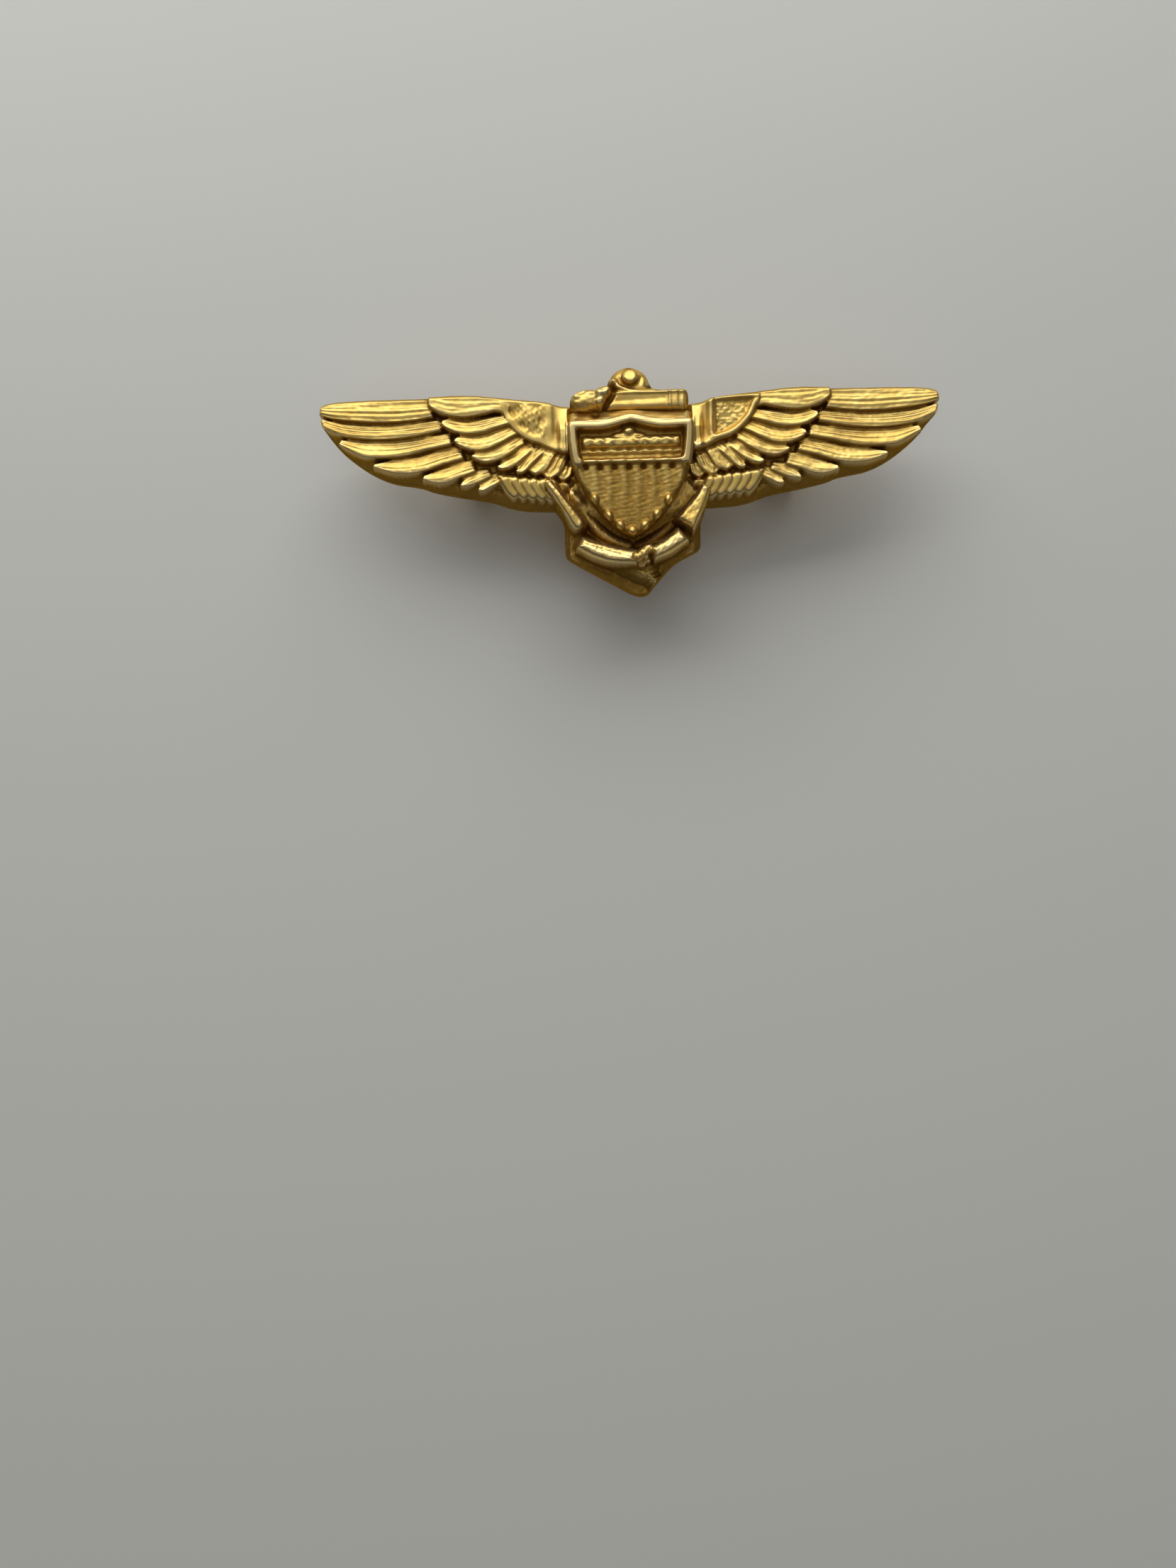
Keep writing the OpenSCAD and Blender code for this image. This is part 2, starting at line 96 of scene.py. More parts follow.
def dome(far):
    """A round rise from 0 where far is 1 or more to 1 where far, a share of the radius squared, is 0."""
    return np.sqrt(np.clip(1 - far, 0, 1))


def round_over(d, r):
    """A quarter-round rise from 0 at an edge to 1 at a distance r from it."""
    t = np.clip(d / r, 0, 1)
    return dome((1 - t) ** 2)


def near(v, at, wide):
    """1 where v is at, fading softly to 0 over about wide on both sides."""
    return np.exp(-((v - at) / wide) ** 2)


def beyond(v, edge, blur):
    """0 where v is under edge and 1 where it is over, with a step as soft as blur."""
    return 1 / (1 + np.exp(-(v - edge) / blur))


def soften(z, times):
    """The heights z with their sharp steps rounded, as polishing does, over and over."""
    for _ in range(times):
        p = np.pad(z, 1, mode="edge")
        z = (4 * p[1:-1, 1:-1] + 2 * (p[:-2, 1:-1] + p[2:, 1:-1] + p[1:-1, :-2] + p[1:-1, 2:])
             + p[:-2, :-2] + p[2:, :-2] + p[:-2, 2:] + p[2:, 2:]) / 16
    return z


def dents(x, y, size, seed):
    """Smooth random unevenness between -1 and 1, for worn surfaces."""
    rng = np.random.default_rng(seed)
    out = np.zeros(x.shape)
    for k in range(10):
        a = rng.uniform(0, 2 * math.pi)
        f = 2 * math.pi / size * rng.uniform(0.5, 1.8)
        out += np.sin((x * math.cos(a) + y * math.sin(a)) * f + rng.uniform(0, 6.3))
    return out / 5


def wear_shade_and_sheen(z, along, across, level):
    """Where the gilt is painted darker and where it is painted paler, each from 0 to 1. The darker share
    is tarnish and painted shade, in narrow and wide hollows, below the height level and on steep faces;
    the paler share, on the crests, is rubbed gilding and a painted highlight."""
    wide = soften(z, 24)
    # Tarnish and painted shade: darker in hollows, in low places and on steep walls, where shade falls.
    shade_and_tarnish = np.clip((wide - z) / 0.22, 0, 1)
    shade_and_tarnish = np.maximum(shade_and_tarnish, 0.6 * np.clip((soften(wide, 90) - z + 0.01) / 0.16, 0, 1))
    shade_and_tarnish = np.maximum(shade_and_tarnish, 0.75 * np.clip((level - z) / 0.3, 0, 1))
    steep = np.hypot(np.gradient(z, axis=1) / np.gradient(across, axis=1),
                     np.gradient(z, axis=0) / np.gradient(along)[:, None])
    shade_and_tarnish = np.maximum(shade_and_tarnish, 0.75 * np.clip((steep - 1.1) / 1.5, 0, 1))
    # The paler crests are partly gilding rubbed bright and partly a painted highlight on the raised edges.
    crest = np.clip((z - wide) / 0.16, 0, 1)
    crest = np.maximum(crest, np.clip((z - z.max() + 0.13) / 0.06, 0, 1))
    return shade_and_tarnish, crest


def struck(name, along, low, high, relief, base_z, floor, rim, count, across_is_y, softness, tarnish_shade_below):
    """A struck piece. Its face is a relief over a grid that follows its outline, with a trimmed wall
    round it and a flat back. along holds the places of the rows, and low and high where each row
    starts and ends across. relief(x, y) is the height above the back, and floor is where the wall
    starts, as one number or one for each row. The wall ends rim below the edge of the face. Below the
    height in the last argument, a number or a function of x and y, the gilt is painted darker, as
    tarnish and as painted shade in the low places."""
    rows = len(along)
    middle = (low + high) / 2
    most_draft = 0.05
    foot_bevel = 0.06
    draft = np.minimum(most_draft, (high - low) * 0.1)
    share = np.linspace(0, 1, count)[None, :]
    across = (low + draft)[:, None] * (1 - share) + (high - draft)[:, None] * share
    far = np.repeat(along[:, None], count, axis=1)
    x, y = (far, across) if across_is_y else (across, far)
    z = soften(relief(x, y), softness)
    level = tarnish_shade_below(x, y) if callable(tarnish_shade_below) else tarnish_shade_below
    shade_and_tarnish, crest = wear_shade_and_sheen(z, along, across, level)
    # Each row is a closed loop: half of the back, one wall, the face, the other wall.
    flat = np.zeros(rows) + floor
    first_wall = [(middle, flat), (low + draft, flat), (low, flat + foot_bevel), (low, z[:, 0] - rim)]
    last_wall = [(high, z[:, -1] - rim), (high, flat + foot_bevel), (high - draft, flat)]
    loop_across, loop_z = (np.concatenate([np.stack([p[k] for p in first_wall], 1), face,
                                           np.stack([p[k] for p in last_wall], 1)], 1)
                           for k, face in ((0, across), (1, z)))
    n = loop_across.shape[1]
    far = np.repeat(along[:, None], n, axis=1)
    pair = [far, loop_across] if across_is_y else [loop_across, far]
    points = np.stack([*pair, loop_z + base_z], 2).reshape(-1, 3) * MM
    i, j = np.meshgrid(np.arange(rows - 1), np.arange(n), indexing="ij")
    k = (j + 1) % n
    quads = np.stack([i * n + j, (i + 1) * n + j, (i + 1) * n + k, i * n + k], 2).reshape(-1, 4)
    ends = [list(range(n)), [(rows - 1) * n + q for q in range(n)][::-1]]
    if not across_is_y:
        quads = quads[:, ::-1]
        ends = [e[::-1] for e in ends]
    mesh = bpy.data.meshes.new(name)
    mesh.from_pydata(points.tolist(), [], quads.tolist() + ends)
    mesh.update()
    mesh.polygons.foreach_set("use_smooth", np.ones(len(mesh.polygons), bool))
    # The walls and the back get most of the tarnish and painted shade, and none of the paler crest colour.
    for label, face, elsewhere in (("shade_and_tarnish", shade_and_tarnish, 0.7), ("crest", crest, 0)):
        values = np.full((rows, n), elsewhere, np.float32)
        values[:, len(first_wall):len(first_wall) + count] = face
        layer = mesh.attributes.new(label, "FLOAT", "POINT")
        layer.data.foreach_set("value", values.ravel())
    obj = bpy.data.objects.new(name, mesh)
    bpy.context.scene.collection.objects.link(obj)
    return obj


# Each feather: its lower edge from root to tip, its upper edge from root to tip, the height of its
# crown above the back, and how far its upper side is tucked down under the feather above it.
primaries = [
    ([(10.0, 3.42), (11, 3.28), (12, 3.2), (13, 3.2), (14, 3.28), (15.2, 3.46), (16.1, 3.78)],
     [(10.3, 4.5), (11, 4.55), (12.5, 4.56), (14, 4.56), (15.2, 4.5), (16.05, 4.25)], 2.0, 0.2),
    ([(9.6, 2.72), (10.9, 2.48), (12, 2.36), (13, 2.34), (14.2, 2.45), (15, 2.64), (15.9, 3.1)],
     [(9.7, 3.4), (11, 3.3), (13, 3.22), (14.5, 3.35), (15.95, 3.6)], 1.95, 0.32),
    ([(9.1, 2.0), (10.3, 1.75), (11, 1.58), (12, 1.42), (13.3, 1.42), (14, 1.6), (15.05, 2.2)],
     [(9.2, 2.7), (10.6, 2.55), (12, 2.45), (13.5, 2.48), (14.9, 2.5)], 1.9, 0.32),
    ([(8.5, 1.28), (9.7, 0.95), (10.5, 0.7), (11.3, 0.58), (12.3, 0.64), (13.3, 1.0)],
     [(8.7, 2.1), (9.8, 1.85), (11, 1.55), (12.2, 1.42), (13.25, 1.2)], 1.85, 0.3),
    ([(7.9, 0.62), (8.6, 0.38), (9.3, 0.12), (10.0, 0.05), (10.8, 0.3)],
     [(8.1, 1.35), (9.0, 1.15), (9.9, 0.85), (10.7, 0.55)], 1.8, 0.26),
    ([(7.1, 0.38), (7.8, 0.05), (8.4, -0.12), (8.8, -0.12)],
     [(7.3, 0.9), (8.0, 0.75), (8.6, 0.4), (8.85, 0.02)], 1.75, 0.24),
    ([(6.6, 0.12), (7.0, -0.13), (7.5, -0.36), (7.85, -0.38)],
     [(6.8, 0.7), (7.3, 0.5), (7.8, 0.1), (7.95, -0.25)], 1.7, 0.22),
]
secondaries = [
    ([(6.5, 3.5), (6.9, 3.58), (7.5, 3.42), (8.5, 3.3), (9.4, 3.42), (10, 3.68), (10.3, 3.95)],
     [(6.5, 4.5), (7.5, 4.55), (8.8, 4.62), (9.8, 4.6), (10.3, 4.45)], 2.2, 0.16),
    ([(6.0, 3.0), (6.9, 2.68), (7.6, 2.46), (8.4, 2.43), (9, 2.55), (9.5, 2.82), (9.7, 3.05)],
     [(6.1, 3.6), (7.2, 3.42), (8.2, 3.32), (9.2, 3.38), (9.65, 3.25)], 2.16, 0.36),
    ([(5.8, 2.42), (6.8, 1.85), (7.5, 1.62), (8.2, 1.63), (8.8, 1.88), (9.1, 2.15)],
     [(5.9, 3.15), (7.0, 2.65), (7.8, 2.5), (8.6, 2.5), (9.0, 2.35)], 2.14, 0.34),
    ([(5.4, 1.95), (6.4, 1.25), (7.2, 1.0), (7.8, 1.08), (8.2, 1.32)],
     [(5.5, 2.7), (6.7, 1.95), (7.4, 1.75), (7.9, 1.65), (8.2, 1.45)], 2.1, 0.32),
    ([(4.9, 1.6), (5.9, 0.8), (6.5, 0.62), (6.85, 0.72)],
     [(5.1, 2.3), (6.1, 1.45), (6.6, 1.15), (6.9, 0.85)], 2.06, 0.3),
    ([(4.3, 1.6), (5.2, 0.66), (5.6, 0.42), (5.85, 0.45)],
     [(4.7, 2.1), (5.6, 1.2), (5.85, 0.85), (5.95, 0.55)], 2.02, 0.28),
    ([(3.7, 1.6), (4.15, 0.78), (4.4, 0.52), (4.85, 0.34)],
     [(4.3, 2.0), (5.1, 1.1), (5.3, 0.7), (5.1, 0.42)], 1.98, 0.26),
    ([(3.1, 1.4), (3.45, 0.6), (3.7, 0.3), (4.12, 0.12)],
     [(3.8, 1.9), (4.45, 0.95), (4.6, 0.5), (4.35, 0.18)], 1.94, 0.24),
    ([(2.8, 0.9), (2.92, 0.48), (3.1, 0.2), (3.42, 0.02)],
     [(3.45, 1.4), (3.75, 0.75), (3.85, 0.35), (3.6, 0.06)], 1.88, 0.22),
]
first_short = 20


def feather_height(x, y, low, high, crown, tuck, seed):
    """Height of one feather over the back, or 0 off it. The seeds of the short feathers start at
    first_short, and each seed gives its feather slightly different strokes and dents."""
    low = smooth_run(low, 6)
    high = smooth_run(high, 6)
    outline = np.vstack([low, high[::-1]])
    box = ((x > outline[:, 0].min()) & (x < outline[:, 0].max())
           & (y > outline[:, 1].min()) & (y < outline[:, 1].max()))
    z = np.zeros(x.shape)
    if not box.any():
        return z
    px, py = x[box], y[box]
    on = inside(outline, px, py)
    d_low, t = distance_to(low, px, py)
    d_high, _ = distance_to(high, px, py)
    d_tip, _ = distance_to(np.vstack([low[-1:], high[-1:]]), px, py)
    s = d_low / (d_low + d_high + 1e-9)
    width = np.median(d_low[on] + d_high[on]) if on.any() else 1
    edge = np.minimum(d_low, d_tip)
    # The vane is rounded across, and tucked down on its upper side. The root of a long feather is
    # blunt, and that of a short one sinks under the lip of the coverts.
    h = crown - 0.05 * np.clip(1 - s / 0.3, 0, 1) ** 1.5
    h = h - 0.8 * tuck * np.minimum((d_low + d_high) / width, 1) * np.clip((s - 0.2) / 0.8, 0, 1) ** 1.3
    if seed < first_short:
        d_root, _ = distance_to(np.vstack([low[:1], high[:1]]), px, py)
        h = h - 0.16 * (1 - round_over(d_root, 0.24))
    else:
        h = h - 0.2 * np.clip(1 - t / 0.25, 0, 1)
    for place, deep in ((0.34 + 0.05 * math.sin(seed), 0.045), (0.64, 0.045)):
        h = h - deep * near(s, place, 0.055) * np.clip(1.3 - t, 0, 1)
    # Soft strokes along the vane, cut by hand in the die.
    deep = 0.01 if seed < first_short + 4 else 0.02
    h = h + deep * np.sin(s * width * 26 + seed * 1.7 + 0.8 * np.sin(t * 9 + seed))
    h = h + 0.014 * dents(px * 0.3, py, 0.6, seed + 90) + 0.01 * dents(px, py, 0.45, seed + 50)
    h = h - 0.12 * np.clip(t - 0.75, 0, 1) - 0.3 * (1 - round_over(edge, 0.06))
    z[box] = np.where(on, h, 0)
    return z


def shoulder_height(x, y, side):
    """The covert patch at the root of a wing, inside its rolled lip."""
    edge = smooth_run([(6.6, 3.62), (6.3, 3.0), (5.8, 2.45), (5.2, 2.05), (4.6, 1.85), (4.0, 1.55),
                       (3.4, 1.35), (3.0, 1.45)], 5)
    crown = smooth_run([(6.75, 4.6), (5.5, 4.5), (4.5, 4.4), (3.8, 4.2), (3.0, 4.1)], 5)
    outline = np.vstack([edge, crown[::-1]])
    on = inside(outline, x, y)
    d, _ = distance_to(edge, x, y)
    h = 1.98 + 0.03 * dents(x, y, 1.5, 3 + side)
    patch = (np.clip((x - 4.25) / 0.2, 0, 1) * np.clip((d - 0.32) / 0.15, 0, 1)
             * np.clip((4.05 - y) / 0.2, 0, 1))
    if side > 0:
        wrinkle = -0.1 + 0.03 * dents(x, y, 0.3, 12) + 0.022 * dents(x, y * 1.4, 0.19, 6)
    else:
        wrinkle = 0.09 * dents(x, y, 1.3, 10) + 0.035 * dents(x * 1.2, y, 0.4, 4)
    h = h + patch * wrinkle
    roll = 0.16 if side > 0 else 0.03
    h = h + roll * near(d, 0.23, 0.2)
    # Groove between the wing and the plain web, and a raised strip beside it.
    h = h - 0.1 * near(x, 3.82, 0.16) * np.clip((y - 2.0) / 0.5, 0, 1)
    strip = 0.13 if side > 0 else 0.02
    h = h + strip * near(x, 4.15, 0.17) * np.clip((y - 1.9) / 0.3, 0, 1)
    h = h + strip * near(y, 4.1, 0.13) * np.clip((x - 4.1) / 0.2, 0, 1)
    h = h + np.clip((3.8 - x) / 0.25, 0, 1) * (0.12 - 0.28 * np.clip(y - 2.8, -0.2, 2))
    h = h - 0.45 * (1 - round_over(d, 0.11))
    return np.where(on, h, 0)


def down_height(u, y):
    """The band of short down feathers along the bottom, turned back towards the shield."""
    band = smooth_run([(7.0, 0.5), (6.75, 0.0), (6.4, -0.45), (5.4, -0.55), (4.4, -0.65), (3.5, -0.6),
                       (3.0, -0.3), (3.0, 0.0), (4.4, 0.1), (5.6, 0.3), (6.4, 0.6), (7.0, 0.5)], 4)
    d, _ = distance_to(band, u, y)
    ripple = 0.035 * np.sin((u - 0.5 * y) * 11.5) * np.clip((0.35 - y) * 2, 0, 1)
    lumps = 0.05 * dents(u, y, 0.5, 21) + ripple
    slope = 0.5 * np.clip(y - 0.12 * (u - 4.5), -0.8, 0)
    z = np.where(inside(band, u, y), 1.42 + 0.33 * round_over(d, 0.3) + lumps + slope, 0)
    for n in range(6):
        cx = 6.1 - 0.48 * n
        cy = -0.3 - 0.05 * n
        down = np.array([(cx + 0.36, cy + 0.44), (cx + 0.14, cy + 0.02), (cx - 0.06, cy - 0.2)])
        d, t = distance_to(down, u, y)
        wide = 0.36 - 0.06 * t
        lobe = 1.5 + 0.36 * dome((d / wide) ** 2) - 0.16 * t
        z = np.maximum(z, np.where(d < wide, lobe, 0))
    return z


def wing_relief(x, y):
    """The face of both wings and of the web between them."""
    side = np.where(x < 0, -1.0, 1.0)
    u = np.abs(x)
    # Outside the feathers the face falls away to the trimmed edge.
    rim, _ = distance_to(np.vstack([edge_low, edge_top[::-1]]), u, y)
    z = 0.35 + 0.75 * np.clip(rim / 0.4, 0, 1)
    # The broad tongue under the feathers, which the deep gaps between them show.
    core = smooth_run([(3.0, 4.2), (9, 4.25), (14.6, 4.1), (15.0, 3.4), (13.5, 2.0), (11.5, 1.0),
                       (9.5, 0.5), (7.5, 0.15), (6.6, -0.3), (4.6, -0.65), (3.0, -0.65), (3.0, 4.2)], 5)
    d, _ = distance_to(core, u, y)
    z = np.where(inside(core, u, y), np.maximum(z, 0.9 + 0.5 * round_over(d, 0.4)), z)
    for n, (low, high, crown, tuck) in enumerate(primaries):
        z = np.maximum(z, feather_height(u, y, low, high, crown, tuck, n))
    for n, (low, high, crown, tuck) in enumerate(secondaries):
        z = np.maximum(z, feather_height(u, y, low, high, crown, tuck, first_short + n))
    # The short inner feathers lie close together, over a frill that fills the gaps between them.
    frill = smooth_run([(3.15, 0.12), (3.7, 0.3), (4.5, 0.5), (5.4, 0.65), (6.4, 0.95), (7.1, 1.25),
                        (8.0, 1.9), (8.9, 2.7), (9.8, 3.7), (9.1, 3.8), (8.0, 3.2), (6.6, 2.6), (5.8, 2.4),
                        (4.6, 1.9), (3.6, 1.5), (2.7, 1.3), (2.7, 0.1), (3.15, 0.12)], 4)
    d, _ = distance_to(frill, u, y)
    ribs = 0.025 * np.sin((u * 1.15 + y * (0.35 + 0.1 * u)) * 11) + 0.02 * dents(u, y, 0.5, 23)
    z = np.maximum(z, np.where(inside(frill, u, y), 1.62 + ribs - 0.3 * (1 - round_over(d, 0.15)), 0))
    z = np.maximum(z, down_height(u, y))
    for hand in (-1, 1):
        z = np.where(side == hand, np.maximum(z, shoulder_height(u, y, hand)), z)
    # The plain web, with the ledge along the top of the shield that shows below the stock.
    top_line = np.interp(u, [0, 0.9, 1.6, 2.9, 3.2], [3.2, 3.0, 2.88, 2.88, 2.8])
    ledge = web_top + 0.48 * near(y, top_line + 0.02, 0.15)
    ledge = ledge - 0.3 * near(x, -1.8, 0.16) * near(y, 3.05, 0.25)
    blend = np.clip((u - 2.8) / 0.4, 0, 1)
    neck = 2.1 - 0.28 * np.clip(y - 2.8, 0, 2)
    neck = neck + 0.2 * near(u, 3.12, 0.26) * np.clip(3.3 - y, 0, 1)
    plain = np.where(y > 1.4, np.maximum(z, neck), np.maximum(z, web_top))
    on_web = u < 3.3
    z = np.where(on_web & (y > 1.4), ledge * (1 - blend) + plain * blend, np.maximum(z, web_top * on_web))
    # The trimmed edge was eased over all round when the badge was polished.
    z = z - 0.3 * (1 - round_over(rim, 0.16)) * np.clip(z - 0.6, 0, 1)
    return z + 0.01 * dents(x, y, 0.9, 40)


edge_top = smooth_run([(0, 3.85), (2.6, 3.85), (3.6, 3.9), (4.4, 4.08), (5.6, 4.22), (7, 4.38),
                       (8.8, 4.49), (10.2, 4.44), (12.5, 4.43), (14.4, 4.4), (15.5, 4.28), (15.85, 4.1),
                       (15.91, 3.8)], 8)
edge_low = smooth_run([(0, -1.15), (2.6, -1.15), (3.6, -1.18), (4.6, -1.15), (5.6, -1.08), (6.4, -0.9),
                       (7.2, -0.62), (8.2, -0.42), (9.0, -0.28), (10.2, -0.02), (11.0, 0.25),
                       (12.4, 0.52), (13.4, 0.95), (14.3, 1.55), (15.1, 2.25), (15.7, 3.0), (15.88, 3.4),
                       (15.91, 3.7)], 8)
# The columns stand closer together over the tip, where the outline turns.
tip_starts = 15.6
columns = np.concatenate([np.arange(0, tip_starts, 0.0455), np.linspace(tip_starts, 15.905, 12)])
columns = np.concatenate([-columns[:0:-1], columns])
wing_plate = struck("wing_plate_struck", columns,
                    np.interp(np.abs(columns), edge_low[:, 0], edge_low[:, 1]),
                    np.interp(np.abs(columns), edge_top[:, 0], edge_top[:, 1]),
                    wing_relief, base_z=back_z, floor=0.0, rim=0.06, count=134, across_is_y=True,
                    softness=1, tarnish_shade_below=1.2)


def gilt(name, shade_and_tarnish, scratch, shade):
    """Gilt brass, satin and finely drawn. With the second argument set, it is also painted brown where the
    piece's attribute for hollows says, as tarnish and as painted shade, and paler and smoother on its
    crests, the paler colour partly rubbed gilding and partly a painted highlight. scratch is how the drawn
    lines are stretched, and shade darkens the gold."""
    mat = bpy.data.materials.new(name)
    mat.use_nodes = True
    nodes, links = mat.node_tree.nodes, mat.node_tree.links
    nodes.clear()
    out = nodes.new("ShaderNodeOutputMaterial")
    skin = nodes.new("ShaderNodeBsdfPrincipled")
    skin.inputs["Metallic"].default_value = 1.0
    skin.inputs["Specular Tint"].default_value = (0.9, 0.66, 0.3, 1)
    links.new(skin.outputs[0], out.inputs[0])
    place = nodes.new("ShaderNodeTexCoord")

    def noise(scale, detail, rough, stretch=(1, 1, 1)):
        lay = nodes.new("ShaderNodeMapping")
        lay.inputs["Scale"].default_value = stretch
        tex = nodes.new("ShaderNodeTexNoise")
        tex.inputs["Scale"].default_value = scale
        tex.inputs["Detail"].default_value = detail
        tex.inputs["Roughness"].default_value = rough
        links.new(place.outputs["Object"], lay.inputs[0])
        links.new(lay.outputs[0], tex.inputs["Vector"])
        return tex.outputs[0]

    def ramp(source, a, b, low, high):
        node = nodes.new("ShaderNodeMapRange")
        node.inputs["From Min"].default_value = a
        node.inputs["From Max"].default_value = b
        node.inputs["To Min"].default_value = low
        node.inputs["To Max"].default_value = high
        links.new(source, node.inputs[0])
        return node.outputs[0]

    def mixed(share, a, b):
        node = nodes.new("ShaderNodeMix")
        node.data_type = "RGBA"
        for source, socket in ((share, node.inputs[0]), (a, node.inputs[6]), (b, node.inputs[7])):
            if isinstance(source, tuple):
                socket.default_value = (*source, 1)
            else:
                links.new(source, socket)
        return node.outputs[2]

    def maths(kind, a, b):
        node = nodes.new("ShaderNodeMath")
        node.operation = kind
        for source, socket in ((a, node.inputs[0]), (b, node.inputs[1])):
            if isinstance(source, (int, float)):
                socket.default_value = source
            else:
                links.new(source, socket)
        return node.outputs[0]

    cloud = ramp(noise(700, 3, 0.5), 0.35, 0.65, 0, 1)
    grain = noise(9000, 4, 0.6)
    gold = tuple(c * shade for c in (0.88, 0.59, 0.155))
    pale = tuple(c * shade for c in (0.94, 0.69, 0.22))
    colour = mixed(cloud, gold, pale)
    rough = ramp(noise(2500, 3, 0.6), 0.3, 0.7, 0.36, 0.48)
    if shade_and_tarnish:
        # Tarnish and painted shade: the marked hollows, low places and steep faces are painted brown.
        deep = nodes.new("ShaderNodeAttribute")
        deep.attribute_name = "shade_and_tarnish"
        tarnish_shade_share = maths("MULTIPLY", deep.outputs["Fac"], ramp(noise(4000, 3, 0.6), 0.2, 0.7, 0.75, 1.25))
        tarnish_shade_share = ramp(tarnish_shade_share, 0.05, 0.75, 0, 0.92)
        colour = mixed(tarnish_shade_share, colour, (0.31, 0.165, 0.026))
        rough = maths("ADD", rough, maths("MULTIPLY", tarnish_shade_share, 0.15))
        # The crests are smoother, and painted paler: partly rubbed gilding, partly a painted highlight.
        crest = nodes.new("ShaderNodeAttribute")
        crest.attribute_name = "crest"
        rough = maths("SUBTRACT", rough, maths("MULTIPLY", crest.outputs["Fac"], 0.1))
        colour = mixed(maths("MULTIPLY", crest.outputs["Fac"], 0.5), colour, (0.92, 0.75, 0.44))
    links.new(colour, skin.inputs["Base Color"])
    links.new(rough, skin.inputs["Roughness"])
    strokes = noise(5200, 2, 0.5, scratch)
    relief = maths("ADD", maths("MULTIPLY", grain, 0.5), maths("MULTIPLY", strokes, 0.8))
    bump = nodes.new("ShaderNodeBump")
    bump.inputs["Strength"].default_value = 0.22
    bump.inputs["Distance"].default_value = 0.00002
    links.new(relief, bump.inputs["Height"])
    links.new(bump.outputs[0], skin.inputs["Normal"])
    return mat


struck_gilt = gilt("struck_gilt", shade_and_tarnish=True, scratch=(1, 0.35, 1), shade=1.0)
wing_plate.data.materials.append(struck_gilt)
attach(wing_plate, "badge")
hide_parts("wing_plate")

# ------------------------------------------------------------------ shield
# The shield is a third struck piece in front of the anchor. It has a plain raised border and a sunk
# chief with a roped bar and a small knob across it, over narrow upright pales with beaded ends. Two
# studs soldered to its back hold the three pieces together.
shield_low, shield_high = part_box("shield")
shield_top = (shield_high.z - shield_low.z) / MM
shield_half = smooth_run([(0, 3.11), (0.3, 3.06), (0.9, 2.9), (1.6, 2.78), (2.9, 2.8), (3.12, 2.68),
                          (3.2, 2.3), (3.14, 1.4), (2.98, 0.5), (2.6, -0.4), (2.05, -1.3), (1.35, -2.15),
                          (0.6, -2.8), (0, -3.08)], 6)
shield_line = np.vstack([shield_half, shield_half[-2:0:-1] * (-1, 1)])


def chief_height(x, y, top):
    """The chief: a deep sunk panel that rises gently towards its lower ledge."""
    panel = top - 0.62 + 0.16 * np.clip((1.6 - y) / 0.7, 0, 1)
    bar = dome(((y - 1.7) / 0.32) ** 2)
    rope = 0.025 * np.sin((x * 1.1 + y) * 10) + 0.02 * dents(x, y, 0.35, 70)
    ends = 1 - beyond(np.abs(x), 2.5, 0.04)
    panel = panel + ends * np.where(bar > 0, bar * (0.44 + rope), 0)
    thin = dome(((y - 1.24) / 0.13) ** 2)
    panel = panel + ends * thin * (0.15 + 0.04 * np.sin((x + 0.4 * y) * 11 + 0.8 * np.sin(x * 3)))
    knob = dome(((x + 0.1) / 0.36) ** 2 + ((y - 2.2) / 0.28) ** 2)
    arms = dome(((x + 0.1) / 0.95) ** 2 + ((y - 2.0) / 0.25) ** 2)
    panel = np.maximum(panel, top - 0.56 + 0.44 * knob)
    panel = np.where(arms > 0, np.maximum(panel, top - 0.62 + 0.36 * arms), panel)
    return panel + 0.02 * dents(x, y, 0.5, 8)


def pales_height(x, y, top):
    """The field: raised upright pales, finely tooled across, that fade towards the point."""
    pitch = 0.73
    wave = np.cos(2 * math.pi * (x - 0.27 + 0.05 * np.sin(y * 3)) / pitch)
    fade = np.clip((y + 2.9) / 3.3, 0.15, 1)
    pale = top - 0.34 + 0.048 * wave * fade - 0.05 * np.clip(-y / 2.5, 0, 1) + 0.03 * (x / 2) ** 2
    notch = near(y, 0.46, 0.13) * np.clip((0.1 - wave) / 1.1, 0, 1) ** 2
    pale = pale - 0.2 * notch + 0.22 * np.exp(-((y - 0.7) / 0.14) ** 4)
    return pale + 0.012 * dents(x * 0.4, y, 0.3, 9) + 0.006 * dents(x * 0.3, y, 0.16, 19)


def shield_relief(x, y):
    """The face of the shield: a raised border round the sunk chief, and the field below it."""
    top = shield_top
    d, _ = distance_to(np.vstack([shield_line, shield_line[:1]]), x, y)
    z = top - 0.2 * (1 - round_over(d, 0.16)) - 0.06 * np.clip((0.3 - d) / 0.3, 0, 1)
    field = beyond(d, 0.5, 0.03)
    chief = beyond(y, 0.86, 0.03)
    inner = chief_height(x, y, top) * chief + pales_height(x, y, top) * (1 - chief)
    lower = 1 - beyond(y, 0.45, 0.06)
    # Below the chief there is no border. The pales run out to the edge and end in beads.
    field = field * (1 - lower) + lower
    z = z * (1 - field) + inner * field
    z = z - lower * 0.32 * (1 - round_over(d, 0.3))
    for bx, by in ((-1.94, -1.2), (-1.25, -2.06), (-0.68, -2.54), (-0.05, -2.84), (0.61, -2.54),
                   (1.24, -2.0), (1.84, -1.28)):
        bead = np.clip(1 - ((x - bx) / 0.25) ** 2 - ((y - by) / 0.32) ** 2, 0, 1)
        z = z + (0.24 - 0.25 * (y - by)) * bead ** 0.7 * (bead > 0)
    return z


